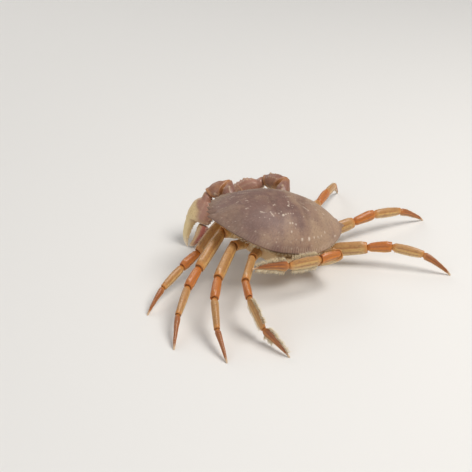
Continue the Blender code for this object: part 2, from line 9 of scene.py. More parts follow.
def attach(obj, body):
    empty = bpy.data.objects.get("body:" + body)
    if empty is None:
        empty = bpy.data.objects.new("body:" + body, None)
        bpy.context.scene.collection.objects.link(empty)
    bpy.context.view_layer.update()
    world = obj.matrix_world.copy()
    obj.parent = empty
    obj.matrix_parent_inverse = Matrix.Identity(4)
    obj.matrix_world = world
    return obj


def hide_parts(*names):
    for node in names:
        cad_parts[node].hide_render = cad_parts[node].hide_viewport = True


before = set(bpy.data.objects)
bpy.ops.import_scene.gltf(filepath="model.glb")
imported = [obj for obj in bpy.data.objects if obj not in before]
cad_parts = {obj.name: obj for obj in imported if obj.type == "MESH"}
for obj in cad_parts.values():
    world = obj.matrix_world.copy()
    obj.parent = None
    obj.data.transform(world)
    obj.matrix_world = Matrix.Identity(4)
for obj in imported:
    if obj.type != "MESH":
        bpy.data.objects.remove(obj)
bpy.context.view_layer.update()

# The carapace is one hard, chalky plate over the whole back, grown in one piece. Nine teeth and a long
# last spine run along each side, five small ones along the brow, and the edge turns under all round.
# The back is covered in fine grains, with pale pimples on its swellings and a row of them at the rear.
MM = 0.001
UP = Vector((0.0, 0.0, 1.0))
BODY_CENTRE = Vector((-17.54, 15.55, 56.0)) * MM
BODY_ROLL = math.radians(18.0)
BODY_PITCH = math.radians(6.5)
HALF_WIDTH = 85.0
FRONT_REACH = 0.70 * HALF_WIDTH
SIDE_REACH = 0.97 * HALF_WIDTH
REAR_REACH = 0.62 * HALF_WIDTH
REAR_HALF_WIDTH = 0.36 * HALF_WIDTH
DOME_HEIGHT = 0.35 * HALF_WIDTH
DOME_POWER = 2.3
FLANK_BEND = Vector((0.80, -0.36)) * HALF_WIDTH
REAR_DROP = 4.0
SIDE_TEETH = 9
# The bearings, in degrees, between which the side teeth stand, the first one's height, how much each
# one adds to it, and the height of the last spine
TEETH_SPAN = (68.0, -2.0)
FIRST_TOOTH = 2.0
TOOTH_GROWTH = 0.12
LAST_SPINE = 4.6
BROW_SPINE = 4.2
ORBITAL_X = 26.4
ORBITAL_SPINE = Vector((0.3, 3.4))
FLANK_STEPS = 8
UNDER_FLAT = 0.64
UNDER_DEPTH = 14.0
ORBIT_CENTRE = Vector((20.2, 57.2, -1.6))
ORBIT_RADII = Vector((4.3, 5.4, 3.9))
BACK_RINGS = 128
RIM_RINGS = 22
EDGE_STEP = 1.0
TICK_EVERY = 3
TICK_HEIGHT = 0.24
RIM_GRAIN = 0.15
# Where the pale rear rim starts and where it is whole, along Y
REAR_RIM = (-14.0, -34.0)
PIMPLES = 260
GRAINS = 2600
PIMPLE_LINES = 22
LINE_STEP = 1.7
LINE_HEIGHT = 0.28
# Pale old pimples that stand out on this animal: where they stand, half their width and how pale
OLD_PIMPLES = [
    (-1, -4, 1.4, 0.8), (-2, -8, 1.3, 0.6), (-4, -11, 1.7, 0.9), (-18, -20, 1.0, 0.6),
    (-14, -23, 1.7, 1.0), (-11, -22.6, 1.0, 0.8), (-8, -22, 0.9, 0.7), (-5, -22, 0.9, 0.7),
    (-2, -22, 0.9, 0.7), (11, -24, 1.0, 0.6), (-8, -32, 1.2, 0.7), (-5, -32, 1.2, 0.8),
    (-1, -33, 1.2, 0.7), (-7, -39, 1.2, 0.8), (6, -44, 1.6, 0.9), (15, -43, 1.8, 1.0),
    (22, -41, 1.2, 0.8), (28, -39, 1.2, 0.8), (34, -36, 1.1, 0.7), (40, -31, 1.3, 0.8),
]
BROW = [(4.0, -1.0), (7.6, 3.2), (10.8, -0.6), (14.2, 3.0), (16.6, -2.4), (20.2, -3.6), (23.6, -2.2)]

turn = Matrix.Rotation(BODY_PITCH, 4, "X") @ Matrix.Rotation(BODY_ROLL, 4, "Y")
body = Matrix.Translation(BODY_CENTRE) @ turn
on_body = body @ Matrix.Scale(MM, 4)
chance = random.Random(7)


def clamp(value):
    return min(1.0, max(0.0, value))


def smoothstep(low, high, value):
    share = clamp((value - low) / (high - low))
    return share * share * (3.0 - 2.0 * share)


def swell(value, middle, width):
    """A soft rise of height 1 about a middle value."""
    return math.exp(-(((value - middle) / width) ** 2))


def ripple(x, y, size, layer):
    """Slow random waves of this size over a surface, with a pattern of its own for each layer."""
    return noise.noise(Vector((x, y, layer)) / size)


def mirrored(spot, sign):
    """A point or direction that is given for the right side, on the right or the left."""
    return Vector((spot.x * sign, spot.y, spot.z))


def column_angle(column, columns):
    return 2 * math.pi * column / columns


def side_arc(angle):
    return Vector((SIDE_REACH * math.cos(angle), FRONT_REACH * math.sin(angle)))


def half_edge():
    """The right half of the edge, front to rear, as (smooth point, point with its tooth)."""
    points = []
    for x, rise in BROW:
        smooth = side_arc(math.acos(x / SIDE_REACH))
        points.append((smooth, smooth + Vector((0.0, rise))))
    orbital = math.acos(ORBITAL_X / SIDE_REACH)
    first, last = (math.radians(bearing) for bearing in TEETH_SPAN)
    points.append((side_arc(orbital), side_arc(orbital) + ORBITAL_SPINE))
    between = side_arc((orbital + first) / 2)
    points.append((between, between + Vector((0.0, 1.6))))
    pitch = (first - last) / SIDE_TEETH
    for tooth in range(SIDE_TEETH):
        biggest = tooth == SIDE_TEETH - 1
        height = LAST_SPINE if biggest else FIRST_TOOTH + TOOTH_GROWTH * tooth
        peak = 0.55 if biggest else 0.34
        for share, rise in ((0.0, -0.45), (peak, 1.15), (0.5 + peak / 2, 0.35)):
            point = side_arc(first - pitch * (tooth + share))
            outward = Vector((point.x / SIDE_REACH**2, point.y / FRONT_REACH**2)).normalized()
            points.append((point, point + outward * height * rise))
    corner, rear = side_arc(last), Vector((REAR_HALF_WIDTH, -0.93 * REAR_REACH))
    for step in range(FLANK_STEPS + 1):
        share = step / FLANK_STEPS
        point = corner * (1 - share) ** 2 + FLANK_BEND * 2 * share * (1 - share) + rear * share**2
        points.append((point, point))
    for share in (0.86, 0.66, 0.36):
        point = Vector((REAR_HALF_WIDTH * share, -REAR_REACH * (1.0 - 0.07 * share**3.4)))
        points.append((point, point))
    return points


def whole_edge():
    """The whole edge once round, filled in to even steps, as (smooth point, tooth's reach past it)."""
    right = half_edge()
    brow, rear, flip = side_arc(math.pi / 2), Vector((0.0, -REAR_REACH)), Vector((-1.0, 1.0))
    left = [(smooth * flip, toothed * flip) for smooth, toothed in reversed(right)]
    corners = [(brow, brow + Vector((0.0, BROW_SPINE))), *right, (rear, rear), *left]
    filled = []
    for (smooth, toothed), (next_smooth, next_toothed) in zip(corners, corners[1:] + corners[:1]):
        steps = max(2, round((next_toothed - toothed).length / EDGE_STEP))
        for step in range(steps):
            share = step / steps
            point = smooth.lerp(next_smooth, share)
            filled.append((point, toothed.lerp(next_toothed, share) - point))
    return filled


def relief(x, y):
    """Swellings and grooves of the back, as a height over the plain dome."""
    u, v = abs(x) / HALF_WIDTH, y / HALF_WIDTH
    stomach = 1.3 * math.exp(-((u / 0.20) ** 2) - ((v - 0.24) / 0.24) ** 2)
    heart = 1.0 * math.exp(-((u / 0.13) ** 2) - ((v + 0.26) / 0.16) ** 2)
    gills = 1.2 * math.exp(-(((u - 0.46) / 0.24) ** 2) - ((v + 0.12) / 0.26) ** 2)
    groove = 1.5 * math.exp(-(((u - 0.20 - 0.12 * (v + 0.3) ** 2) / 0.055) ** 2) - ((v + 0.12) / 0.30) ** 2)
    neck = 0.9 * math.exp(-(((v - 0.02 - 0.55 * (u - 0.1) ** 2) / 0.06) ** 2) - ((u - 0.28) / 0.25) ** 2)
    return stomach + heart + gills - groove - neck


def fine_relief(x, y):
    """What the plain relief leaves out: the furrow and lobes behind the brow, the liver swellings in
    the front corners, two small scars each side of the heart, and the dents of old knocks."""
    u, v = abs(x) / HALF_WIDTH, y / HALF_WIDTH
    furrow = 0.8 * swell(u, 0.0, 0.035) * swell(v, 0.50, 0.13)
    lobes = 0.6 * swell(u, 0.15, 0.08) * swell(v, 0.42, 0.15)
    liver = 0.6 * swell(u, 0.52, 0.13) * swell(v, 0.30, 0.13)
    scars = 0.5 * swell(u, 0.105, 0.022) * swell(v, -0.10, 0.05)
    crease = 0.6 * swell(u, 0.30 + 0.5 * (v + 0.1), 0.03) * swell(v, 0.14, 0.16)
    waves = 0.30 * ripple(x, y, 14.0, 3.0) + 0.16 * ripple(x, y, 5.0, 9.0)
    return lobes + liver - furrow - scars - crease + waves


def rear_drop(y, share):
    return REAR_DROP * share**3 * smoothstep(-0.10 * HALF_WIDTH, -REAR_REACH, y)


def back_height(spot, share):
    height = DOME_HEIGHT * (1.0 - share**DOME_POWER) ** 0.92
    height += (relief(spot.x, spot.y) + fine_relief(spot.x, spot.y)) * (1.0 - share**4)
    return height - rear_drop(spot.y, share)


def scatter_pimples():
    """Places, sizes, heights and paleness of the grains and pimples of the back. Small dark grains are
    crowded on the front and sides, with a few pale pimples and short lines of them among these."""
    found = []
    while len(found) < GRAINS + PIMPLES:
        spot = Vector((chance.uniform(-1, 1) * SIDE_REACH, chance.uniform(-1, 1) * FRONT_REACH))
        reach = (spot.x / SIDE_REACH) ** 2 + (spot.y / (FRONT_REACH if spot.y > 0 else REAR_REACH)) ** 2
        crowd = 0.25 + 0.5 * reach + 0.5 * smoothstep(-20.0, 30.0, spot.y)
        if reach < 0.96 and chance.random() < crowd:
            size = chance.uniform(0.5, 0.9)
            pale = chance.uniform(0.15, 0.6) if len(found) >= GRAINS else 0.08
            found.append((spot, size, size * 0.22, pale))
    for _ in range(PIMPLE_LINES):
        start = Vector((chance.uniform(-0.72, 0.72) * SIDE_REACH, chance.uniform(-0.5, 0.62) * REAR_REACH))
        along = Vector((chance.uniform(-1, 1), chance.uniform(-0.6, 0.6))).normalized()
        pale = chance.uniform(0.4, 0.9)
        for step in range(chance.choice((1, 2, 3, 4, 5))):
            found.append((start + along * step * LINE_STEP, chance.uniform(0.7, 1.1), LINE_HEIGHT, pale))
    return found


def skin(name, columns, rings, place, masks):
    """A closed skin: a grid whose points are placed one by one, then welded where its edges meet."""
    mesh = bmesh.new()
    bmesh.ops.create_grid(mesh, x_segments=columns, y_segments=rings, size=0.5)
    layers = [mesh.verts.layers.float.new(mask) for mask in masks]
    for vert in mesh.verts:
        column = round((vert.co.x + 0.5) * columns) % columns
        vert.co, values = place(column, round((vert.co.y + 0.5) * rings))
        for layer, value in zip(layers, values):
            vert[layer] = value
    bmesh.ops.remove_doubles(mesh, verts=mesh.verts, dist=1e-6)
    bmesh.ops.recalc_face_normals(mesh, faces=mesh.faces)
    return finish_mesh(name, mesh)


def finish_mesh(name, mesh):
    data = bpy.data.meshes.new(name)
    mesh.to_mesh(data)
    mesh.free()
    data.shade_smooth()
    piece = bpy.data.objects.new(name, data)
    bpy.context.scene.collection.objects.link(piece)
    return piece


def fit(piece, finish, slot, *nodes):
    """Gives a piece its finish and ties it to the model, in place of any solid that it stands for."""
    piece.data.materials.append(finish)
    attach(piece, "root")
    if nodes:
        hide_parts(*nodes)


edge = whole_edge()
old_pimples = [(Vector((x, y)), wide, 0.30 * wide, pale) for x, y, wide, pale in OLD_PIMPLES]
pimples = []
for spot, wide, tall, pale in scatter_pimples():
    if all((spot - other).length > wide + other_wide for other, other_wide, *_ in old_pimples):
        pimples.append((spot, wide, tall, pale))
pimples += old_pimples
pimple_tree = kdtree.KDTree(len(pimples))
for number, (spot, *_) in enumerate(pimples):
    pimple_tree.insert((spot.x, spot.y, 0.0), number)
pimple_tree.balance()


def open_orbit(point):
    """Pushes a point of the shell out of the eye sockets."""
    side = 1 if point.x > 0 else -1
    away = point - mirrored(ORBIT_CENTRE, side)
    reach = Vector(away[k] / ORBIT_RADII[k] for k in range(3)).length
    return point + away * (1.0 / reach - 1.0) if 0.05 < reach < 1.0 else point


def edge_ticks(column):
    """The short pale ridges that run out across the rear rim, strongest on its right half."""
    smooth, _ = edge[column]
    patchy = 0.8 + 0.6 * ripple(smooth.x, smooth.y, 4.0, 44.0)
    return patchy * (0.20 + 0.80 * smoothstep(-26.0, 14.0, smooth.x)) if column % TICK_EVERY == 0 else 0.0


def back_colours(spot, share):
    """How far the tan flush, the shade in the grooves and the olive flush cover a point of the back:
    tan at the rear and right, olive in front, at the far left and in a band on the right."""
    groove = smoothstep(0.1, -0.9, relief(spot.x, spot.y))
    drift = ripple(spot.x, spot.y, 17.0, 1.0) + 0.5 * ripple(spot.x, spot.y, 6.0, 7.0)
    shift = 22.0 * ripple(spot.x, spot.y, 26.0, 4.0)
    rim = smoothstep(0.87, 0.94, share) * smoothstep(*REAR_RIM, spot.y)
    tan = 0.55 * smoothstep(-22.0, -46.0, spot.y) + 0.75 * smoothstep(-6.0, 34.0, spot.x + 0.6 * shift)
    tan += 0.40 * drift - 0.30 * rim
    olive = smoothstep(20.0, 50.0, spot.y + shift) + 0.5 * swell(spot.x + shift, 34.0, 20.0)
    olive += 0.5 * smoothstep(-48.0, -80.0, spot.x + shift) + 0.4 * drift
    return tan, groove, olive


def shell_point(column, ring):
    """A point of the shell with its masks: pale pimple, tan flush, shade in a groove, underside, olive
    flush, and the ridges of the rear rim."""
    smooth, reach = edge[column]
    share = min(1.0, ring / BACK_RINGS)
    grow = smoothstep(0.90, 1.0, share)
    spot = smooth * share + reach * grow
    if ring <= BACK_RINGS:
        tooth = reach.length * (1 if reach.dot(smooth) > 0 else -1)
        height = back_height(spot, share) + 0.16 * tooth * swell(share, 0.975, 0.03) + 0.3 * share**8
        _, number, distance = pimple_tree.find((spot.x, spot.y, 0.0))
        _, size, tall, pale = pimples[number]
        bump = max(0.0, 1.0 - (distance / size) ** 2) * (1.0 - smoothstep(0.96, 1.0, share))
        height += tall * bump
        dot = pale * bump
        tan, groove, olive = back_colours(spot, share)
        ticks = edge_ticks(column) * smoothstep(0.918, 0.958, share) * smoothstep(*REAR_RIM, spot.y)
        height += TICK_HEIGHT * ticks * (1.0 - smoothstep(0.985, 1.0, share))
        under = 0.0
    else:
        step = (ring - BACK_RINGS) / RIM_RINGS
        inward = 1.0 - (1.0 - UNDER_FLAT) * min(1.0, step * 1.25)
        spot = smooth * inward + reach * smoothstep(0.955, 1.0, inward)
        fall = smoothstep(1.04, UNDER_FLAT, inward)
        height = -0.4 - (UNDER_DEPTH - 0.4) * fall - rear_drop(spot.y, 1.0) * (1.0 - fall)
        if step > 0.8:
            spot = smooth * UNDER_FLAT * (1.0 - (step - 0.8) / 0.2)
        height += RIM_GRAIN * ripple(spot.x, spot.y, 2.2, 5.0) * smoothstep(0.0, 0.2, step)
        dot, groove, tan, olive, under = 0.0, 0.0, 0.4, 0.3, smoothstep(0.06, 0.34, step)
        ticks = edge_ticks(column) * smoothstep(0.3, 0.0, step) * smoothstep(*REAR_RIM, spot.y)
    point = open_orbit(Vector((spot.x, spot.y, height)))
    masks = (dot, tan, groove, under, olive, ticks)
    return on_body @ point, tuple(clamp(mask) for mask in masks)


def set_values(node, values):
    for socket, value in values.items():
        node.inputs[socket].default_value = value


def add_node(tree, kind, values=(), **settings):
    """A new node with its settings, and plain values for its inputs by name or number."""
    made = tree.nodes.new(kind)
    for name, value in settings.items():
        setattr(made, name, value)
    set_values(made, dict(values))
    return made


def join(tree, *pairs):
    for output, socket in pairs:
        tree.links.new(output, socket)


def build_grain():
    """Chalky crab shell up close: broad blotches, fine specks, and a grain that roughens the surface."""
    tree = bpy.data.node_groups.new("chalky grain", "ShaderNodeTree")
    for name, default in (("Blotch Scale", 90.0), ("Grain Scale", 1500.0), ("Strength", 0.3)):
        socket = tree.interface.new_socket(name, in_out="INPUT", socket_type="NodeSocketFloat")
        socket.default_value = default
    for name, kind in (("Blotch", "Float"), ("Mottle", "Float"), ("Specks", "Float"), ("Normal", "Vector")):
        tree.interface.new_socket(name, in_out="OUTPUT", socket_type=f"NodeSocket{kind}")
    given, out = add_node(tree, "NodeGroupInput"), add_node(tree, "NodeGroupOutput")
    place = add_node(tree, "ShaderNodeTexCoord").outputs["Object"]
    blotch = add_node(tree, "ShaderNodeTexNoise", {"Detail": 5.0, "Roughness": 0.62})
    spread = add_node(tree, "ShaderNodeMapRange", {"From Min": 0.32, "From Max": 0.68})
    closer = add_node(tree, "ShaderNodeMath", {1: 5.0}, operation="MULTIPLY")
    mottle = add_node(tree, "ShaderNodeTexNoise", {"Detail": 4.0, "Distortion": 0.8})
    flecks = add_node(tree, "ShaderNodeMapRange", {"From Min": 0.52, "From Max": 0.66})
    grain = add_node(tree, "ShaderNodeTexVoronoi")
    tips = add_node(tree, "ShaderNodeMapRange", {"From Min": 0.34, "From Max": 0.10})
    fine = add_node(tree, "ShaderNodeTexNoise", {"Detail": 3.0})
    height = add_node(tree, "ShaderNodeMath", operation="ADD")
    bump = add_node(tree, "ShaderNodeBump", {"Distance": 0.00035})
    for texture in (blotch, mottle, grain, fine):
        tree.links.new(place, texture.inputs["Vector"])
    join(
        tree,
        (given.outputs["Blotch Scale"], blotch.inputs["Scale"]),
        (given.outputs["Blotch Scale"], closer.inputs[0]),
        (closer.outputs["Value"], mottle.inputs["Scale"]),
        (given.outputs["Grain Scale"], grain.inputs["Scale"]),
        (given.outputs["Grain Scale"], fine.inputs["Scale"]),
        (given.outputs["Strength"], bump.inputs["Strength"]),
        (blotch.outputs["Fac"], spread.inputs["Value"]),
        (mottle.outputs["Fac"], flecks.inputs["Value"]),
        (grain.outputs["Distance"], tips.inputs["Value"]),
        (tips.outputs["Result"], height.inputs[0]),
        (fine.outputs["Fac"], height.inputs[1]),
        (height.outputs["Value"], bump.inputs["Height"]),
        (spread.outputs["Result"], out.inputs["Blotch"]),
        (flecks.outputs["Result"], out.inputs["Mottle"]),
        (tips.outputs["Result"], out.inputs["Specks"]),
        (bump.outputs["Normal"], out.inputs["Normal"]),
    )
    return tree


chalky_grain = build_grain()


def plain_finish(name, values):
    """A new material and its shader, with plain values for the shader's inputs."""
    made = bpy.data.materials.new(name)
    made.use_nodes = True
    shader = made.node_tree.nodes["Principled BSDF"]
    set_values(shader, values)
    return made, shader


def shell_finish(name, base, coats, roughness=0.5, blotch=90.0, grain=1500.0, strength=0.3, gloss=0.0):
    """A crab-shell finish. Each coat is a colour with what it follows (Blotch, Mottle, Specks or one of
    the piece's own masks) and how far it covers."""
    shine = {"Roughness": roughness, "Coat Weight": gloss, "Coat Roughness": 0.25}
    made, shader = plain_finish(name, shine)
    tree = made.node_tree
    scales = {"Blotch Scale": blotch, "Grain Scale": grain, "Strength": strength}
    grained = add_node(tree, "ShaderNodeGroup", scales, node_tree=chalky_grain)
    below = None
    for follows, colour, cover in coats:
        if follows in ("Blotch", "Mottle", "Specks"):
            mask = grained.outputs[follows]
        else:
            mask = add_node(tree, "ShaderNodeAttribute", attribute_name=follows).outputs["Fac"]
        amount = add_node(tree, "ShaderNodeMath", {1: cover}, operation="MULTIPLY", use_clamp=True)
        colours = {"A": (*base, 1.0), "B": (*colour, 1.0)}
        coat = add_node(tree, "ShaderNodeMix", colours, data_type="RGBA")
        join(tree, (mask, amount.inputs[0]), (amount.outputs["Value"], coat.inputs["Factor"]))
        if below:
            tree.links.new(below, coat.inputs["A"])
        below = coat.outputs["Result"]
    join(tree, (below, shader.inputs["Base Color"]), (grained.outputs["Normal"], shader.inputs["Normal"]))
    return made


back_finish = shell_finish(
    "purple brown back",
    (0.212, 0.115, 0.089),
    [
        ("Blotch", (0.143, 0.078, 0.063), 0.80),
        ("tan", (0.480, 0.315, 0.205), 0.85),
        ("olive", (0.330, 0.235, 0.145), 0.55),
        # The groove coat is painted shade in the grooves of the back.
        ("groove", (0.145, 0.080, 0.062), 0.45),
        ("Mottle", (0.135, 0.076, 0.062), 0.42),
        ("Specks", (0.360, 0.240, 0.175), 0.30),
        ("ticks", (0.600, 0.470, 0.365), 0.58),
        ("pimple", (0.740, 0.620, 0.500), 0.90),
        ("under", (0.640, 0.480, 0.270), 1.0),
    ],
    roughness=0.52,
)
shell_masks = ("pimple", "tan", "groove", "under", "olive", "ticks")
shell = skin("shell_back", len(edge), BACK_RINGS + RIM_RINGS, shell_point, shell_masks)
fit(shell, back_finish, "shell", "carapace")

# The eyes are glossy black beads on short stalks, set deep in two sockets of the brow. Each eye's
# skin is a dome of very small facets, and its stalk is a ringed, straw-coloured peg.
EYE_RADIUS = 2.7
STALK_RADIUS = 1.7
STALK_ROOT = -4.2
STALK_STEPS = 14
STALK_PITCH = 0.27
BALL_STEPS = 24
EYE_OUTLOOK = Vector((0.62, 0.72, 0.30))
# Where the eye stands from the middle of its socket
EYE_OFFSET = Vector((0.7, 0.9, 0.3))
SIDES = (("left", -1), ("right", 1))

stalk_finish = shell_finish(
    "straw stalk",
    (0.480, 0.270, 0.130),
    [("Blotch", (0.300, 0.140, 0.080), 0.6), ("Specks", (0.640, 0.450, 0.280), 0.4)],
    roughness=0.4,
    grain=2500.0,
)
wet = {"Roughness": 0.12, "Coat Weight": 1.0, "Coat Roughness": 0.04}
bead, bead_shader = plain_finish("black bead", wet)
facets = add_node(bead.node_tree, "ShaderNodeTexVoronoi", {"Scale": 6500.0})
darks = {"A": (0.010, 0.007, 0.006, 1.0), "B": (0.050, 0.028, 0.018, 1.0)}
glints = add_node(bead.node_tree, "ShaderNodeMix", darks, data_type="RGBA")
facet_bump = add_node(bead.node_tree, "ShaderNodeBump", {"Strength": 0.08, "Distance": 0.0001})
join(
    bead.node_tree,
    (add_node(bead.node_tree, "ShaderNodeTexCoord").outputs["Object"], facets.inputs["Vector"]),
    (facets.outputs["Distance"], glints.inputs["Factor"]),
    (facets.outputs["Distance"], facet_bump.inputs["Height"]),
    (glints.outputs["Result"], bead_shader.inputs["Base Color"]),
    (facet_bump.outputs["Normal"], bead_shader.inputs["Normal"]),
)


def turned(name, place_on, profile, columns=40):
    """A round piece from its profile, as (distance along its axis, radius) pairs, closed at both ends."""
    def place(column, ring):
        along, radius = profile[ring]
        angle = column_angle(column, columns)
        return place_on @ Vector((along, radius * math.cos(angle), radius * math.sin(angle))), ()
    return skin(name, columns, len(profile) - 1, place, ())


def pointing(direction, up):
    """A turn that lays X along a direction, with Z as near to up as it can be."""
    x = direction.normalized()
    z = (up - x * up.dot(x)).normalized()
    return Matrix((x, z.cross(x), z)).transposed()


for side, sign in SIDES:
    outlook, middle = mirrored(EYE_OUTLOOK, sign), mirrored(ORBIT_CENTRE + EYE_OFFSET, sign)
    on_eye = on_body @ Matrix.Translation(middle) @ pointing(outlook, UP).to_4x4()
    peg = [(STALK_ROOT, 0.0), (STALK_ROOT, STALK_RADIUS)]
    for step in range(STALK_STEPS):
        ringed = 1.0 + 0.05 * math.sin(step * 1.9) + 0.02 * step
        peg.append((STALK_ROOT + 0.1 + step * STALK_PITCH, STALK_RADIUS * ringed))
    peg += [(-0.2, 2.3), (-0.1, 0.0)]
    ball = []
    for step in range(BALL_STEPS + 1):
        angle = math.radians(-90.0 + 180.0 * step / BALL_STEPS)
        ball.append((EYE_RADIUS * 1.04 * math.sin(angle), EYE_RADIUS * math.cos(angle)))
    fit(turned(f"eye_stalk_{side}", on_eye, peg), stalk_finish, "feeler", f"eye_{side}")
    eyeball = turned(f"eye_ball_{side}", on_eye @ Matrix.Translation(Vector((0.35, 0, 0))), ball)
    fit(eyeball, bead, "eye", f"eye_{side}")

# The feelers: a stout jointed root each side of the mouth that carries a short whip of many rings, and
# between them the two small antennules, folded down on themselves. Both are straw and russet. Their
# lines give x, y, z and radius from root to tip.
FEELER_LINE = [
    (13.2, 54.6, -9.0, 2.2),
    (13.8, 57.6, -8.2, 2.3),
    (14.6, 60.4, -7.2, 1.7),
    (15.0, 61.4, -6.8, 0.9),
    (15.4, 67.0, -4.6, 0.7),
    (16.2, 73.0, -3.2, 0.6),
    (17.8, 79.4, -3.0, 0.4),
]
ANTENNULE_LINE = [
    (4.2, 54.0, -7.5, 1.5),
    (4.8, 57.0, -6.8, 1.3),
    (5.6, 59.6, -5.4, 1.0),
    (6.6, 61.0, -6.4, 0.8),
    (6.8, 60.6, -9.0, 0.6),
    (6.2, 59.4, -11.4, 0.3),
]
WHIP_RING = 0.9
# Columns and rings of each one's skin
FEELER_GRID = (16, 110)
ANTENNULE_GRID = (14, 60)
# How far ahead and behind a line's heading is taken, as a share of it
LOOK = 0.01

feeler_finish = shell_finish(
    "russet feeler",
    (0.430, 0.210, 0.095),
    [("Blotch", (0.270, 0.110, 0.060), 0.6), ("ring", (0.620, 0.430, 0.250), 0.6)],
    roughness=0.45,
    grain=2500.0,
    strength=0.2,
)


def along_line(line, share):
    """A point of a smooth curve through a line's points, with whatever else they carry."""
    spot = share * (len(line) - 1)
    i = min(len(line) - 2, int(spot))
    t = spot - i
    before, near, far, after = (line[max(0, min(len(line) - 1, k))] for k in (i - 1, i, i + 1, i + 2))
    blended = []
    for a, b, c, d in zip(before, near, far, after):
        blended.append(b + 0.5 * t * (c - a + t * (2 * a - 5 * b + 4 * c - d + t * (3 * (b - c) + d - a))))
    return blended


def line_heading(line, share):
    """Which way a line runs at this share of it."""
    ahead, behind = along_line(line, min(1.0, share + LOOK)), along_line(line, max(0.0, share - LOOK))
    return [far - near for far, near in zip(ahead, behind)]


def whip(name, line, sign, columns, rings):
    """A tapering feeler along its line: its root's joints first, then the fine rings of its whip."""
    def place(column, ring):
        share = ring / rings
        x, y, z, radius = along_line(line, share)
        along = Vector(line_heading(line, share)[:3])
        angle = column_angle(column, columns)
        travel = y / WHIP_RING * 2 * math.pi
        band = 0.5 + 0.5 * math.sin(travel)
        radius *= 1.0 + 0.10 * band if share > 0.5 else 1.0 + 0.05 * math.sin(share * 40.0)
        closed = 0.0 if ring in (0, rings) else 1.0
        round_it = Vector((0, math.cos(angle), math.sin(angle))) * radius * closed
        spot = Vector((x, y, z)) + pointing(along, UP) @ round_it
        return on_body @ mirrored(spot, sign), (band if share > 0.5 else 0.3,)
    return skin(name, columns, rings, place, ("ring",))


for side, sign in SIDES:
    feeler = whip(f"feeler_{side}", FEELER_LINE, sign, *FEELER_GRID)
    fit(feeler, feeler_finish, "feeler", f"antenna_{side}")
    fit(whip(f"antennule_{side}", ANTENNULE_LINE, sign, *ANTENNULE_GRID), feeler_finish, "feeler")

# The outer jaws close the mouth like a pair of doors: each is a long flat plate with a seam across it
# and a small bent palp on top. They are cream, and their meeting edges are bearded. The mouth's line
# gives x, y, z, width and thickness from its rear end up.
MOUTH_LINE = [
    (7.0, 40.6, -22.4, 11.0, 5.0),
    (7.0, 45.0, -19.6, 12.0, 5.0),
    (7.2, 48.6, -16.2, 11.5, 4.6),
    (7.0, 51.2, -12.8, 9.0, 4.0),
    (6.0, 52.8, -10.4, 5.5, 3.0),
]
PALP_LINE = [
    (8.6, 52.6, -10.2, 1.9),
    (6.4, 54.4, -10.2, 1.8),
    (4.2, 54.6, -12.0, 1.6),
    (3.0, 53.4, -15.6, 0.9),
]
MOUTH_SLOPE = Vector((0.0, -0.62, 0.78))
SEAM_SHARE = 0.58
JAW_COLUMNS = 44
JAW_RINGS = 64
PALP_GRID = (14, 40)

cream_finish = shell_finish(
    "cream belly",
    (0.640, 0.480, 0.275),
    [
        ("Blotch", (0.560, 0.360, 0.160), 0.60),
        ("groove", (0.330, 0.180, 0.085), 0.75),
        # The groove coat is painted shade along the seams of the jaws, the breast plate and the tail's links.
        ("Specks", (0.740, 0.600, 0.400), 0.35),
    ],
    roughness=0.46,
    blotch=70.0,
    strength=0.18,
    gloss=0.08,
)


def blunted(value, power):
    """A sine or cosine pushed outward, which gives a round section flatter sides."""
    return math.copysign(abs(value) ** power, value)


for side, sign in SIDES:
    def jaw_point(column, ring):
        share = ring / JAW_RINGS
        x, y, z, width, thick = along_line(MOUTH_LINE, share)
        closed = math.sin(math.pi * clamp(min(share, 1.0 - share) * 9.0) / 2) ** 0.6
        angle = column_angle(column, JAW_COLUMNS)
        across = blunted(math.cos(angle), 0.8) * width / 2 * closed
        deep = blunted(math.sin(angle), 0.8) * thick / 2 * closed
        seam = swell(share, SEAM_SHARE, 0.018) + 0.6 * swell(across, 1.2, 0.35) * (share < SEAM_SHARE)
        spot = Vector((x + across, y, z)) + MOUTH_SLOPE * deep * (1.0 - 0.16 * min(1.0, seam))
        return on_body @ mirrored(spot, sign), (min(1.0, seam),)

    jaw = skin(f"outer_jaw_{side}", JAW_COLUMNS, JAW_RINGS, jaw_point, ("groove",))
    fit(jaw, cream_finish, "underside", f"mouth_plate_{side}")
    fit(whip(f"palp_{side}", PALP_LINE, sign, *PALP_GRID), feeler_finish, "underside")

# The breast plate under the body is one piece of hard cream shell, seamed where its plates grew
# together between the limbs, with a flat for each limb's root and a shallow trough for the tail.
BREAST_RADIUS = 37.0
BREAST_OFFSET = 4.0
BREAST_TOP = -UNDER_DEPTH - 0.6
BREAST_SIDE = -25.5
BREAST_BOTTOM = -28.5
BREAST_REAR = -44.0
BREAST_REAR_HALF = 17.0
BREAST_STEP = 1.1
# How far past the first and last limbs the plate's corners lie, in degrees
FRONT_CORNER, REAR_CORNER = 14.0, 13.0
UNDER_SHARE = 0.86
LIMB_ANGLES = {1: 62.0, 2: 34.0, 3: 7.0, 4: -20.0, 5: -46.0}
SEAM_REACH = 0.30
SEAM_DEPTH = 0.9
# The rings of its skin at which the top ends, the side ends, the turn below ends, and the last one
TOP_RING, SIDE_RING, TURN_RING, LAST_RING = 10, 18, 24, 56
# The tail flap's y, z and width, from the carapace's rear edge to the flap's tip
FLAP_LINE = [
    (-49.6, -12.4, 27.0),
    (-50.2, -17.5, 27.0),
    (-49.4, -22.5, 25.5),
    (-46.6, -26.8, 24.0),
    (-41.0, -29.4, 22.0),
    (-32.0, -30.2, 19.0),
    (-21.0, -30.6, 16.5),
    (-9.0, -30.8, 13.0),
    (0.0, -30.8, 9.5),
    (6.0, -30.6, 5.0),
]

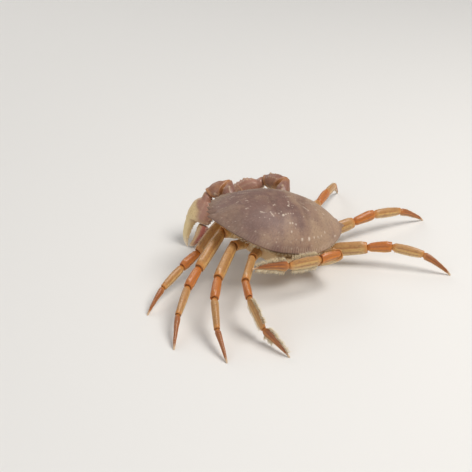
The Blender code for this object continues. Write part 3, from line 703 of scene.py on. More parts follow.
angles = list(LIMB_ANGLES.values())
seam_angles = [(a + b) / 2 for a, b in zip(angles, angles[1:])]
corner_angles = [angles[0] + FRONT_CORNER, *seam_angles, angles[-1] - REAR_CORNER]
breast_half = []
for i, corner in enumerate(corner_angles):
    radius = BREAST_RADIUS / math.cos(math.radians(corner - angles[min(i, len(angles) - 1)]))
    bearing = math.radians(corner)
    breast_half.append(Vector((BREAST_OFFSET + radius * math.cos(bearing), radius * math.sin(bearing))))
breast_half.append(Vector((BREAST_REAR_HALF, BREAST_REAR)))
breast_corners = [Vector((0.0, breast_half[0].y + 0.8)), *breast_half, Vector((0.0, BREAST_REAR - 0.6))]
breast_corners += [Vector((-p.x, p.y)) for p in reversed(breast_half)]
breast_edge = []
for near, far in zip(breast_corners, breast_corners[1:] + breast_corners[:1]):
    steps = max(2, round((far - near).length / BREAST_STEP))
    breast_edge += [near.lerp(far, step / steps) for step in range(steps)]


def flap_half_width(y):
    """Half the tail flap's width where it lies under this point of the breast plate."""
    line = [(a, w) for a, _, w in FLAP_LINE if a > -47.0]
    for (low, wide), (high, narrow) in zip([(-50.0, 26.0)] + line, line):
        if low <= y <= high:
            return (wide + (narrow - wide) * (y - low) / (high - low)) / 2
    return 0.0


def breast_point(column, ring):
    """A point of the breast plate, from the middle of its top round its side to the middle below."""
    edge_point = breast_edge[column]
    rear_lift = 0.8 * smoothstep(-36.0, BREAST_REAR, edge_point.y)
    if ring <= TOP_RING:
        share = ring / TOP_RING
        height = BREAST_TOP + rear_lift * share
    elif ring <= SIDE_RING:
        share = 1.0
        down = (ring - TOP_RING) / (SIDE_RING - TOP_RING)
        height = BREAST_TOP + (BREAST_SIDE - BREAST_TOP) * down + rear_lift * (1 - down)
    elif ring <= TURN_RING:
        bend = (ring - SIDE_RING) / (TURN_RING - SIDE_RING) * math.pi / 2
        share = 1.0 - (1.0 - UNDER_SHARE) * (1 - math.cos(bend))
        height = BREAST_SIDE + (BREAST_BOTTOM - BREAST_SIDE) * math.sin(bend)
    else:
        share = UNDER_SHARE * (1.0 - (ring - TURN_RING) / (LAST_RING - TURN_RING))
        height = BREAST_BOTTOM - 0.9 * smoothstep(UNDER_SHARE, 0.4, share)
    spot = edge_point * share
    seam = 0.0
    if ring > SIDE_RING - 2:
        bearing = math.degrees(math.atan2(spot.y, max(0.01, abs(spot.x) - BREAST_OFFSET * share)))
        reach = math.hypot(spot.x, spot.y)
        for angle in seam_angles:
            seam = max(seam, swell((bearing - angle) * math.pi / 180 * reach, 0.0, 0.7))
        seam *= smoothstep(SEAM_REACH * 0.8, SEAM_REACH * 1.3, share)
        swelling = math.cos(math.radians((bearing - 7) * 13.3)) * smoothstep(0.3, 0.6, share)
        height += SEAM_DEPTH * seam - 0.35 * swelling
        flap_side = flap_half_width(spot.y)
        trough = smoothstep(1.2, -0.8, abs(spot.x) - flap_side) if flap_side else 0.0
        height = height * (1 - trough) + max(height, BREAST_BOTTOM + 0.4) * trough
        height += 0.12 * ripple(spot.x, spot.y, 4.0, 2.0)
    return on_body @ Vector((spot.x, spot.y, height)), (min(1.0, seam),)


breast = skin("breast_shell", len(breast_edge), LAST_RING, breast_point, ("groove",))
fit(breast, cream_finish, "underside", "breast_plate")

# The tail is the narrow flap of a male, folded forward under the body in its trough: seven flat links,
# each lapped over the next, from the wide ones behind the carapace to the pointed tip.
FLAP_THICKNESS = 3.4
FLAP_COLUMNS = 48
FLAP_RINGS = 150
FLAP_LINKS = (0.0, 0.13, 0.25, 0.37, 0.58, 0.74, 0.88, 1.0)


def flap_point(column, ring):
    share = ring / FLAP_RINGS
    y, z, width = along_line(FLAP_LINE, share)
    along = Vector(line_heading(FLAP_LINE, share)[:2]).normalized()
    outward = Vector((-along.y, along.x))
    link = max(i for i, start in enumerate(FLAP_LINKS[:-1]) if share >= start)
    within = (share - FLAP_LINKS[link]) / (FLAP_LINKS[link + 1] - FLAP_LINKS[link])
    lap = 1.0 - 0.10 * within if link else 1.0
    seam = swell(within, 0.0, 0.07) if link else 0.0
    closed = math.sin(math.pi / 2 * min(1.0, min(share, 1.0 - share) * 22.0)) ** 0.6
    angle = column_angle(column, FLAP_COLUMNS)
    across = blunted(math.cos(angle), 0.75) * width / 2 * (1.0 - 0.05 * seam) * closed
    off = blunted(math.sin(angle), 0.9) * FLAP_THICKNESS / 2 * lap * closed
    off *= (1.0 - 0.35 * seam) * (1.0 - 0.25 * abs(math.cos(angle)) ** 3)
    centre = Vector((y, z)) + outward * off
    return on_body @ Vector((across, centre.x, centre.y)), (min(1.0, seam),)


flap = skin("tail_shell", FLAP_COLUMNS, FLAP_RINGS, flap_point, ("groove",))
fit(flap, cream_finish, "underside", "tail_flap")

# Each walking leg is a chain of five hard tubes: a short root, the long flat merus, the carpus, the
# flat propodus and the pointed dactyl. Each has a narrow neck set in the rimmed socket of the one
# before. They are golden tan with russet upper edges, cream bellies and orange round the joints.
GAP = 0.3
LIMB_LEVEL = -21.0
# For each pair, the lengths of its five segments from the root out, then its height and thickness
LEG_SIZES = {
    2: (19, 46, 26, 34, 36, 16.0, 9.5),
    3: (19, 52, 28, 37, 40, 17.0, 10.0),
    4: (19, 50, 27, 35, 38, 17.0, 10.0),
    5: (18, 40, 23, 36, 40, 15.5, 8.5),
}
SHIN_BLADE = 1.35
TOE_BLADE = 1.6
# Each leg's headings and rises in degrees, from its merus to its propodus, then its dactyl's heading.
# The dactyl comes down to the floor, but the folded leg's has a rise of its own.
LEG_POSES = {
    ("right", 2): ((38, 7), (42, 3), (48, -12), 54),
    ("right", 3): ((8, 5), (6, 6), (4, -8), 2),
    ("right", 4): ((-26, 7), (-30, 6), (-36, -8), -42),
    ("left", 2): ((-27, -31), (-26, -16), (-32, -15), -40),
    ("left", 3): ((-38, -22), (-44, -17), (-54, -17), -64),
    ("left", 4): ((-50, -12), (-61, -18), (-74, -26), -86),
    ("left", 5): ((-58, -6), (-78, -12), (-97, -34), -112),
}
FOLDED_LEG = ((-76, 38), (190, 4), (179, 1), (171, 3))
UPPER_EDGE = 90.0
LEG_COLUMNS = 48
BASE_RINGS = 30
LEG_RINGS = 46
LEG_FURROW = 0.45


def facing(pair, sign):
    angle = math.radians(LIMB_ANGLES[pair])
    return turn.to_3x3() @ Vector((math.cos(angle) * sign, math.sin(angle), 0.0))


def limb_root(pair, sign):
    angle = math.radians(LIMB_ANGLES[pair])
    x = BREAST_OFFSET + (BREAST_RADIUS + GAP / 2) * math.cos(angle)
    return on_body @ Vector((x * sign, (BREAST_RADIUS + GAP / 2) * math.sin(angle), LIMB_LEVEL))


def room_direction(heading, rise, sign):
    away, lift = math.radians(heading), math.radians(rise)
    return Vector((math.cos(away) * math.cos(lift) * sign, math.sin(away) * math.cos(lift), math.sin(lift)))


def leg_joints(side, pair):
    """The six joints of a walking leg, from the breast plate to the tip."""
    sign = dict(SIDES)[side]
    base, *lengths, toe = LEG_SIZES[pair][:5]
    root = limb_root(pair, sign)
    joints = [root, root + facing(pair, sign) * base * MM]
    pose = LEG_POSES.get((side, pair), FOLDED_LEG)
    for length, (heading, rise) in zip(lengths, pose):
        joints.append(joints[-1] + room_direction(heading, rise, sign) * length * MM)
    length = toe * MM
    if (side, pair) in LEG_POSES:
        drop = math.degrees(math.asin(joints[-1].z / length))
        joints.append(joints[-1] + room_direction(pose[3], -drop, sign) * length)
    else:
        joints.append(joints[-1] + room_direction(*pose[3], sign) * length)
    return joints


def turning(before, after):
    return 2 * before * after / (before + after) if before * after > 0 else 0.0


def station_at(stations, share):
    """The section at this share of the length, on a curve that never swells past the stations."""
    i = min(len(stations) - 2, sum(share > station[0] for station in stations[1:]))
    near, far = stations[i], stations[i + 1]
    span = far[0] - near[0]
    t = (share - near[0]) / span
    values = []
    for k in range(1, len(near)):
        slopes = [(b[k] - a[k]) / (b[0] - a[0]) for a, b in zip(stations, stations[1:])]
        leaving = turning(slopes[max(0, i - 1)], slopes[i]) * span
        arriving = turning(slopes[i], slopes[min(len(slopes) - 1, i + 1)]) * span
        curve = (2 * t**3 - 3 * t**2 + 1) * near[k] + (t**3 - 2 * t**2 + t) * leaving
        values.append(curve + (3 * t**2 - 2 * t**3) * far[k] + (t**3 - t**2) * arriving)
    return values


def joint_planes(joints, root_normal):
    """The planes that part the segments of a limb, from its root to its tip."""
    bends = zip(joints, joints[1:], joints[2:])
    return [root_normal] + [((b - a).normalized() + (c - b).normalized()).normalized() for a, b, c in bends]


# The levels of the two long furrows on each face of a segment, against half its height
FURROWS = (0.42, -0.34)
FURROW_WIDTH = 0.13
WAVE_LENGTH = 3.5
WAVE_HEIGHT = 0.16
# How far the colour borders wander, and how quickly along the limb
WANDER = 0.25
WANDER_SCALE = 120.0
# Between which shares of the length a furrow comes and goes
FURROW_START, FURROW_END = (0.04, 0.22), (0.98, 0.80)
# The soft borders of the colours: the belly's against how far a face looks down, the crest's against
# how near it is to the upper edge, the joints' in millimetres, and the others' along the segment
BELLY_BORDER = (-0.05, 0.70)
CREST_FADE = 0.7
NEAR_JOINT, FAR_JOINT = (7.0, 1.0), (6.0, 0.5)
FINGER_FADE = 0.12
TIP_BORDER = (0.80, 0.97)
ROOT_SHADE = (0.46, 0.14)
# A segment's two ends, from the outside in: how wide each ring is against the section there, and how
# far it stands inside the plane of the joint, in millimetres. The far end is a rim round a socket.
NECK = ((0.0, -0.9), (0.45, -0.8), (0.66, -0.3), (0.74, 0.5), (0.78, 1.4), (0.88, 2.3), (0.96, 3.2))
SOCKET = (
    (0.0, 2.6), (0.40, 2.5), (0.66, 1.9), (0.80, 0.7), (0.90, 0.15), (0.97, 0.3), (1.01, 1.0), (1.00, 2.2),
)
BLUNT = ((0.0, 0.0), (0.5, 0.05), (0.8, 0.25), (0.95, 0.7))


def lump_over(lumps, share, length, bearing, around):
    """How far the lumps of a segment raise a point of it, and how near it is to one's tip."""
    grow, tip = 0.0, 0.0
    for at, middle, tall, foot, width in lumps:
        off = (share - at) * length / foot
        swing = abs((bearing - middle + 180) % 360 - 180) * math.pi / 180 * around / width
        reach = off * off + swing * swing
        if reach < 1.0:
            grow = max(grow, tall * (1.0 - math.sqrt(reach)) ** 1.2)
            tip = max(tip, (1.0 - reach) * min(1.0, tall))
    return grow, tip


def furrow_over(level, share):
    """How deep in a furrow a point is, from its level on the face and its share of the length."""
    fade = smoothstep(*FURROW_START, share) * smoothstep(*FURROW_END, share)
    return fade * max(swell(level, middle, FURROW_WIDTH) for middle in FURROWS)


def hard_segment(name, start, end, up, planes, stations, columns, rings, lumps, ends=(NECK, SOCKET), **looks):
    """One hard segment from start to end, between the planes of its joints. Each lump is a spine, tooth
    or ridge: (share of the length, angle round the section, height, length and width of its foot)."""
    length = (end - start).length / MM
    frame_turn = pointing(end - start, up)
    local_planes = [frame_turn.transposed() @ plane if plane else None for plane in planes]
    near_end, far_end = ends
    across = looks.get("belly", -UP)
    flesh = looks.get("flesh", 0.0)
    furrow_depth = looks.get("furrow", 0.0)
    crest_from = looks.get("crest", 0.15)
    root_shade = looks.get("root_shade", 0.0)
    seed = looks.get("seed", 0.0)

    def plane_x(which, y, z):
        plane = local_planes[which]
        base = 0.0 if which == 0 else length
        return base - (plane.y * y + plane.z * z) / plane.x if plane else base

    def place(column, ring):
        if ring < len(near_end):
            (wide, deep), which = near_end[ring], 0
        elif ring > rings - len(far_end):
            (wide, deep), which = far_end[rings - ring], 1
        else:
            wide, deep, which = 1.0, None, None
        first, last = stations[0][0], stations[-1][0]
        along = (ring - len(near_end) + 1) / (rings - len(near_end) - len(far_end) + 2)
        margins = near_end[-1][1] / length, far_end[-1][1] / length
        share = min(last, max(first, first + margins[0] + along * (last - first - margins[0] - margins[1])))
        height, thick, rise = station_at(stations, share)
        angle = column_angle(column, columns) + math.pi / 2
        direction = Vector((math.cos(angle), math.sin(angle)))
        y, z = thick / 2 * direction.x, height / 2 * direction.y
        around = math.hypot(y, z)
        grow, tip = lump_over(lumps, share, length, math.degrees(angle) % 360, around)
        furrow = furrow_over(direction.y, share)
        rough = noise.noise(Vector((share * length, y, z + seed)) / WAVE_LENGTH) * WAVE_HEIGHT
        rough -= furrow * furrow_depth
        if which is not None:
            grow, rough = grow * max(0.0, wide - 0.6), 0.0
        outward = Vector((y, z)).normalized() if around > 1e-6 else direction
        y, z = y * wide + outward.x * (grow + rough), z * wide + outward.y * (grow + rough)
        low, high = plane_x(0, y, z), plane_x(1, y, z)
        if which == 0:
            x = low + deep + first * length
        elif which == 1:
            x = high - deep - (1.0 - last) * length
        else:
            from_x = low + near_end[-1][1] + 0.1 * along
            to_x = high - far_end[-1][1] - 0.1 * (1 - along)
            x = min(max(share * length, from_x), to_x)
        for at, past in ((0.0, -x), (length, x - length)):
            if past > 0.0 and local_planes[0 if at == 0.0 else 1]:
                reach = math.hypot(y, z)
                shrink = reach / max(1e-6, math.hypot(reach, past))
                x, y, z = at + (x - at) * shrink, y * shrink, z * shrink
        spot = start + frame_turn @ (Vector((x, y, z + rise)) * MM)
        if looks.get("floor"):
            spot.z = max(spot.z, 0.0)
        out = frame_turn @ Vector((0.0, outward.x / thick, outward.y / height)).normalized()
        wander = WANDER * noise.noise(spot * WANDER_SCALE)
        pale = smoothstep(*BELLY_BORDER, out.dot(across) + wander)
        shade = root_shade * smoothstep(*ROOT_SHADE, share)
        crest = smoothstep(crest_from, crest_from + CREST_FADE, direction.y + wander + shade)
        joint = 0.0
        if which is not None and wide < 0.9:
            joint = 1.0
        elif far_end is SOCKET:
            joint = max(smoothstep(*NEAR_JOINT, x - low), smoothstep(*FAR_JOINT, high - x))
        finger = smoothstep(flesh - FINGER_FADE, flesh + FINGER_FADE, share) if flesh else 0.0
        stripe = furrow * min(1.0, furrow_depth * 3.0)
        return spot, (tip, pale, joint, crest, finger, smoothstep(*TIP_BORDER, share), stripe)

    masks = ("pimple", "belly", "joint", "crest", "finger", "tip", "stripe")
    return skin(name, columns, rings, place, masks)


def upper_row(first, last, count, height, foot=1.3, bearing=UPPER_EDGE, jitter=3.0):
    """A row of small spines along one edge of a segment, none quite like the next."""
    row = []
    for i in range(count):
        share = first + (last - first) * (i + chance.uniform(-0.2, 0.2)) / max(1, count - 1)
        size = chance.uniform(0.75, 1.2)
        at = bearing + chance.uniform(-jitter, jitter)
        row.append((share, at, height * size, foot * size, foot * size))
    return row


def triple_row(spread, main, flank):
    """A main row of spines along the upper edge and a smaller row this many degrees each side of it."""
    rows = []
    for aside, (first, last, count, height, foot, jitter) in ((0, main), (-spread, flank), (spread, flank)):
        rows += upper_row(first, last, count, height, foot, UPPER_EDGE + aside, jitter)
    return rows


leg_finish = shell_finish(
    "golden leg",
    (0.700, 0.455, 0.165),
    [
        ("Blotch", (0.600, 0.320, 0.095), 0.68),
        ("belly", (0.750, 0.570, 0.300), 0.80),
        ("crest", (0.350, 0.130, 0.042), 0.62),
        ("stripe", (0.390, 0.140, 0.042), 0.80),
        ("Mottle", (0.260, 0.095, 0.040), 0.50),
        ("joint", (0.600, 0.215, 0.035), 0.62),
        ("Specks", (0.640, 0.430, 0.220), 0.25),
        ("pimple", (0.720, 0.540, 0.330), 0.70),
    ],
    roughness=0.40,
    blotch=85.0,
    strength=0.22,
    gloss=0.15,
)
toe_finish = shell_finish(
    "orange toe",
    (0.550, 0.190, 0.028),
    [
        ("Blotch", (0.400, 0.110, 0.018), 0.65),
        ("belly", (0.600, 0.350, 0.130), 0.70),
        ("crest", (0.260, 0.085, 0.035), 0.60),
        ("stripe", (0.190, 0.055, 0.025), 0.85),
        ("Mottle", (0.200, 0.065, 0.030), 0.40),
        ("joint", (0.560, 0.225, 0.050), 0.50),
        ("tip", (0.720, 0.540, 0.350), 0.85),
    ],
    roughness=0.36,
    blotch=170.0,
    strength=0.18,
    gloss=0.20,
)

knee_finish = shell_finish(
    "orange knee",
    (0.670, 0.220, 0.022),
    [
        ("Blotch", (0.560, 0.150, 0.016), 0.65),
        ("belly", (0.720, 0.400, 0.110), 0.70),
        ("crest", (0.360, 0.110, 0.035), 0.50),
        ("stripe", (0.330, 0.105, 0.030), 0.70),
        ("Mottle", (0.260, 0.080, 0.032), 0.40),
        ("pimple", (0.740, 0.520, 0.260), 0.55),
    ],
    roughness=0.38,
    blotch=150.0,
    strength=0.20,
    gloss=0.18,
)
leg_finishes = {"carpus": knee_finish, "dactyl": toe_finish}

fringed = []
for side, sign in SIDES:
    for pair, (*_, tall, thin) in LEG_SIZES.items():
        joints = leg_joints(side, pair)
        planes = joint_planes(joints, facing(pair, sign)) + [None]
        shin_blade, toe_blade = (SHIN_BLADE, TOE_BLADE) if pair == 5 else (1.0, 1.0)
        forms = {
            "base": [(0.0, 11.0, 13.0, 0.0), (0.5, 10.8, 11.0, 0.0), (1.0, tall * 0.76, thin * 1.1, 0.0)],
            "merus": [
                (0.0, tall * 0.66, thin * 1.05, 0.0),
                (0.16, tall * 0.84, thin, 0.2),
                (0.45, tall, thin, 0.5),
                (0.84, tall * 0.96, thin * 1.04, 0.4),
                (1.0, tall * 0.76, thin * 1.00, 0.0),
            ],
            "carpus": [
                (0.0, tall * 0.56, thin * 0.84, 0.0),
                (0.32, tall * 0.68, thin * 0.94, 0.5),
                (0.78, tall * 0.80, thin * 0.98, 0.4),
                (1.0, tall * 0.66, thin * 0.86, 0.0),
            ],
            "propodus": [
                (0.0, tall * 0.54, thin * 0.74, 0.0),
                (0.18, tall * 0.66 * shin_blade, thin * 0.82, 0.2),
                (0.46, tall * 0.72 * shin_blade, thin * 0.78, 0.3),
                (0.80, tall * 0.64 * shin_blade, thin * 0.70, 0.2),
                (1.0, tall * 0.50, thin * 0.62, 0.0),
            ],
            "dactyl": [
                (0.0, tall * 0.46, thin * 0.62, 0.0),
                (0.12, tall * 0.52 * toe_blade, thin * 0.62, 0.5),
                (0.40, tall * 0.40 * toe_blade, thin * 0.48, 1.6),
                (0.70, tall * 0.26 * toe_blade, thin * 0.35, 1.6),
                (0.88, tall * 0.17, thin * 0.25, 0.9),
                (1.0, 1.5, 1.5, 0.0),
            ],
        }
        rows = {
            "base": [],
            "merus": upper_row(0.15, 0.86, 16, 0.55) + [(0.88, UPPER_EDGE, 1.3, 2.0, 1.5)],
            "carpus": upper_row(0.2, 0.75, 7, 0.5) + [(0.80, UPPER_EDGE, 1.2, 1.8, 1.4)],
            "propodus": upper_row(0.15, 0.85, 9, 0.4),
            "dactyl": [],
        }
        for i, (part, stations) in enumerate(forms.items()):
            start, end = joints[i], joints[i + 1]
            up = UP if i else turn.to_3x3().col[2]
            ends = (NECK, BLUNT) if part == "dactyl" else (NECK, SOCKET)
            grounded = (side, pair) in LEG_POSES and part == "dactyl"
            looks = {"floor": grounded, "seed": chance.uniform(0, 50)}
            looks["furrow"] = 0.0 if part == "base" else LEG_FURROW
            rings = BASE_RINGS if part == "base" else LEG_RINGS
            name = f"leg_{side}_{pair}_{part}"
            piece = hard_segment(
                f"{name}_shell", start, end, up, planes[i : i + 2], stations, LEG_COLUMNS, rings,
                rows[part], ends, **looks,
            )
            fit(piece, leg_finishes.get(part, leg_finish), "leg", name)
            if part in ("propodus", "dactyl"):
                fringed.append((pair == 5, start, end, up, stations))

# The claws are built like the legs but thick and hard as china: root, arm, wrist, then a deep palm
# drawn out into the fixed finger, with the movable finger hinged over it. Spines line the arm's and
# wrist's far edges and the palm's crest, ribs of grains run down its face, and blunt teeth meet inside.
# The elbow, wrist and tip, in millimetres from the floor below the body's middle, and the direction in
# which the movable finger stands
CLAW_POINTS = {
    "left": (Vector((-29, 80, 69)), Vector((-50, 86, 60)), Vector((-82, 80, 0)), Vector((0.6, -0.78, -0.16))),
    "right": (Vector((43, 84, 56)), Vector((26, 104, 52)), Vector((-33, 123, 14)), Vector((0.0, 0.2, 1.0))),
}
CLAW_ROOT = 21.0
PALM_SHARE = 0.50
FINGER_SHARE = PALM_SHARE + 1 / 40
PALM_HEIGHT = 31.0
PALM_THICKNESS = 18.5
ARM_COLUMNS, ARM_RINGS = 52, 50
PALM_COLUMNS, PALM_RINGS = 60, 130
FINGER_COLUMNS, FINGER_RINGS = 48, 80
RIB_BEARINGS = (-46, -18, 12, 40, 140, 168, 198, 226)

arm_finish = shell_finish(
    "russet arm",
    (0.350, 0.165, 0.085),
    [
        ("Blotch", (0.230, 0.095, 0.062), 0.75),
        ("belly", (0.640, 0.450, 0.230), 0.85),
        ("crest", (0.225, 0.105, 0.085), 0.60),
        ("Mottle", (0.165, 0.070, 0.050), 0.45),
        ("joint", (0.560, 0.250, 0.080), 0.60),
        ("Specks", (0.520, 0.330, 0.200), 0.30),
        ("pimple", (0.740, 0.560, 0.370), 0.60),
    ],
    roughness=0.40,
    blotch=120.0,
    gloss=0.15,
)
hand_finish = shell_finish(
    "hand",
    (0.800, 0.600, 0.290),
    [
        ("Blotch", (0.680, 0.430, 0.180), 0.50),
        ("belly", (0.780, 0.590, 0.310), 0.80),
        ("crest", (0.330, 0.145, 0.115), 0.90),
        ("Mottle", (0.330, 0.150, 0.085), 0.35),
        ("finger", (0.830, 0.660, 0.350), 0.85),
        ("joint", (0.450, 0.190, 0.100), 0.35),
        ("pimple", (0.780, 0.600, 0.390), 0.55),
        ("tip", (0.820, 0.720, 0.560), 0.80),
    ],
    roughness=0.38,
    blotch=110.0,
    gloss=0.18,
)
dactyl_finish = shell_finish(
    "red finger",
    (0.690, 0.470, 0.250),
    [
        ("Blotch", (0.560, 0.330, 0.170), 0.60),
        ("back", (0.400, 0.095, 0.070), 0.95),
        ("Mottle", (0.300, 0.085, 0.060), 0.30),
        ("Specks", (0.640, 0.420, 0.280), 0.25),
        ("pimple", (0.820, 0.640, 0.500), 0.65),
        ("tip", (0.820, 0.700, 0.560), 0.85),
    ],
    roughness=0.36,
    blotch=150.0,
    gloss=0.20,
)

for side, sign in SIDES:
    elbow, wrist, tip, finger_side = CLAW_POINTS[side]
    floor_below = Vector((BODY_CENTRE.x, BODY_CENTRE.y, 0.0))
    root = limb_root(1, sign)
    joints = [root, root + facing(1, sign) * CLAW_ROOT * MM]
    joints += [floor_below + point * MM for point in (elbow, wrist, tip)]
    planes = joint_planes(joints, facing(1, sign)) + [None]
    across = (joints[2] - joints[1]).cross(joints[3] - joints[2]).normalized()
    arm_rows = upper_row(0.2, 0.75, 9, 0.9, 1.5) + [(0.78, 90, 2.2, 2.6, 2.2), (0.80, 45, 1.2, 1.8, 1.6)]
    wrist_rows = triple_row(40, (0.25, 0.7, 6, 0.8, 1.4, 12), (0.25, 0.75, 6, 0.7, 1.3, 8))
    wrist_rows += [(0.66, 90, 2.4, 2.6, 2.3), (0.7, 140, 1.4, 1.9, 1.8)]
    arm_parts = {
        "base": (turn.to_3x3().col[2], [(0, 12, 16, 0), (0.5, 12.2, 14.5, 0), (1, 12.6, 13, -0.4)], []),
        "merus": (
            UP,
            [(0, 13, 13, 0), (0.28, 17, 16, 0), (0.7, 19.5, 17, 0), (1, 13, 13, 0)],
            arm_rows,
        ),
        "carpus": (
            finger_side,
            [(0, 12, 12, 0), (0.4, 19, 18, 0), (0.6, 19, 18, 0), (1, 13, 13, 0)],
            wrist_rows,
        ),
    }
    for i, (part, (up, stations, lumps)) in enumerate(arm_parts.items()):
        name = f"claw_{side}_{part}"
        piece = hard_segment(
            f"{name}_shell", joints[i], joints[i + 1], up, planes[i : i + 2], stations, ARM_COLUMNS,
            ARM_RINGS, lumps, seed=i * 9.0,
        )
        fit(piece, arm_finish, "claw", name)
    tall, thick = PALM_HEIGHT, PALM_THICKNESS
    palm = [
        (0.0, 13.0, 13.0, 0.0),
        (0.10, tall * 0.42, thick * 0.74, 0.0),
        (0.17, tall * 0.72, thick * 0.86, 0.0),
        (0.27, tall * 0.94, thick * 0.98, 0.0),
        (0.42, tall, thick, -0.5),
        (PALM_SHARE, tall * 0.96, thick * 0.92, -0.8),
        (FINGER_SHARE, tall * 0.47, thick * 0.74, -8.4),
        (0.66, tall * 0.34, thick * 0.60, -8.8),
        (0.80, tall * 0.27, thick * 0.48, -7.6),
        (0.92, tall * 0.18, thick * 0.34, -4.8),
        (1.0, 2.0, 2.0, 0.0),
    ]
    ribs = triple_row(22, (0.15, 0.46, 6, 2.2, 2.4, 5), (0.17, 0.46, 6, 1.1, 1.7, 4))
    for bearing in RIB_BEARINGS:
        ribs += upper_row(0.14, 0.49, 15, 0.32, 1.1, bearing, 1.5)
    ribs += upper_row(0.2, 0.9, 26, 0.35, 1.2, 270, 3)
    teeth = upper_row(0.56, 0.94, 10, 1.5, 1.9, 90, 4)
    grounded = side == "left"
    piece = hard_segment(
        f"claw_{side}_palm_shell", joints[3], joints[4], finger_side, planes[3:5], palm, PALM_COLUMNS,
        PALM_RINGS, ribs + teeth, (NECK, BLUNT), floor=grounded, flesh=0.52, crest=-0.2, root_shade=0.9,
        seed=31.0, belly=across,
    )
    fit(piece, hand_finish, "claw", f"claw_{side}_palm")
    reach = joints[4] - joints[3]
    hinge = joints[3] + reach * FINGER_SHARE + reach.normalized() * GAP * MM
    dactyl = [
        (0.0, tall * 0.38, thick * 0.62, 8.9),
        (0.16, tall * 0.42, thick * 0.64, 9.4),
        (0.40, tall * 0.35, thick * 0.56, 9.0),
        (0.66, tall * 0.26, thick * 0.44, 7.6),
        (0.86, tall * 0.17, thick * 0.30, 5.2),
        (0.94, 2.2, 2.2, 3.4),
    ]
    crest = triple_row(28, (0.05, 0.62, 8, 1.7, 2.0, 4), (0.05, 0.6, 8, 0.8, 1.4, 4))
    crest += upper_row(0.2, 0.9, 9, 1.5, 1.8, 270, 4)
    piece = hard_segment(
        f"claw_{side}_dactyl_shell", hinge, joints[4], finger_side, (None, None), dactyl,
        FINGER_COLUMNS, FINGER_RINGS, crest, (BLUNT, BLUNT), seed=47.0, floor=grounded,
    )
    crown = piece.data.attributes.new("back", "FLOAT", "POINT")
    for value, vert in zip(crown.data, piece.data.vertices):
        along = (vert.co - hinge).dot(reach.normalized()) / (joints[4] - hinge).length
        facing_up = vert.normal.dot(finger_side.normalized())
        value.value = smoothstep(-0.15, 0.35, facing_up) * smoothstep(1.0, 0.55, along)
    fit(piece, dactyl_finish, "claw", f"claw_{side}_dactyl")

# Short stiff bristles grow in fringes: along the underside of the carapace's rear edge, thickly on the
# flattened last legs and thinly on the others, on the meeting edges of the jaws, and beside the tail.
BRISTLE_WIDTH = 0.22
BRISTLE_TIP = 0.03
SWAY = 0.16
TUFT = 6
TUFT_SPREAD = 0.42
# How far each row of the rear fringe stands below the edge, how many bristles it has and their length
REAR_ROWS = ((1.2, 230, 1.8), (2.2, 200, 2.6))
# How many bristles each other fringe has, their length and their width at the root
LAST_LEG_FRINGE = (132, 5.8, 0.52)
LEG_FRINGE = (70, 1.6, 0.15)
JAW_FRINGE = (60, 2.2, 0.16)
TAIL_FRINGE = (110, 1.6, 0.15)
# The bake map: each strip is a row of it, and each bristle has a small patch in its strip's row
MAP_MARGIN = 0.02
STRIP_LENGTH = 0.95
STRIP_PITCH = 0.027
PATCH = 0.003

bristles = bmesh.new()
bake_map = bristles.loops.layers.uv.new("OFBake")
band = 0


def bristle(root, direction, length, width, share, strip):
    """One tapering tuft, if it stays clear of the floor. Its patch of the bake map lies at its root's
    place on the strip it grows from."""
    if (root + direction.normalized() * length * MM).z < 2 * width * MM or root.z < 2 * width * MM:
        return
    lean = pointing(direction, Vector((0.3, 0.1, 1.0))).to_4x4()
    stand = Matrix.Rotation(math.pi / 2, 4, "Y")
    place_at = Matrix.Translation(root + direction.normalized() * length * MM / 2) @ lean @ stand
    made = bmesh.ops.create_cone(
        bristles, segments=3, cap_ends=True, radius1=width * MM, radius2=BRISTLE_TIP * MM, depth=length * MM,
        matrix=place_at,
    )
    corner = Vector((MAP_MARGIN + STRIP_LENGTH * share, MAP_MARGIN + STRIP_PITCH * strip))
    for face in {face for vert in made["verts"] for face in vert.link_faces}:
        for loop in face.loops:
            around = (loop.vert.co - root).dot(lean.to_3x3().col[1]) / (2 * width * MM) + 0.5
            along = (loop.vert.co - root).dot(direction.normalized()) / (length * MM)
            loop[bake_map].uv = corner + Vector((clamp(around), clamp(along))) * PATCH


def fringe(place, count, length, width=BRISTLE_WIDTH):
    """A fringe in small tufts along one strip. place gives a bristle's root and lie at a share of it."""
    global band
    for i in range(count):
        place_in_tuft = i % TUFT
        share = (i - place_in_tuft * (1.0 - TUFT_SPREAD) + chance.uniform(-0.2, 0.2)) / count
        root, lie = place(clamp(share))
        sway = Vector((chance.uniform(-1, 1), chance.uniform(-1, 1), chance.uniform(-1, 1))) * SWAY
        reach = length * chance.uniform(0.85, 1.05) * (0.9 + 0.1 * math.sin(math.pi * place_in_tuft / TUFT))
        bristle(root, lie.normalized() + sway, reach, width, share % 1.0, band)
    band += 1


rear_edge = [smooth for smooth, _ in edge if smooth.y < -0.42 * REAR_REACH]
for drop, count, length in REAR_ROWS:
    def rear_root(share, drop=drop):
        smooth = rear_edge[min(len(rear_edge) - 1, int(share * len(rear_edge)))]
        spot = smooth * (1.0 - 0.012 * drop)
        root = Vector((spot.x, spot.y, -drop - rear_drop(smooth.y, 1.0)))
        lie = turn.to_3x3() @ Vector((smooth.x * 0.012, smooth.y * 0.012, -0.9))
        return on_body @ root, lie
    fringe(rear_root, count, length)

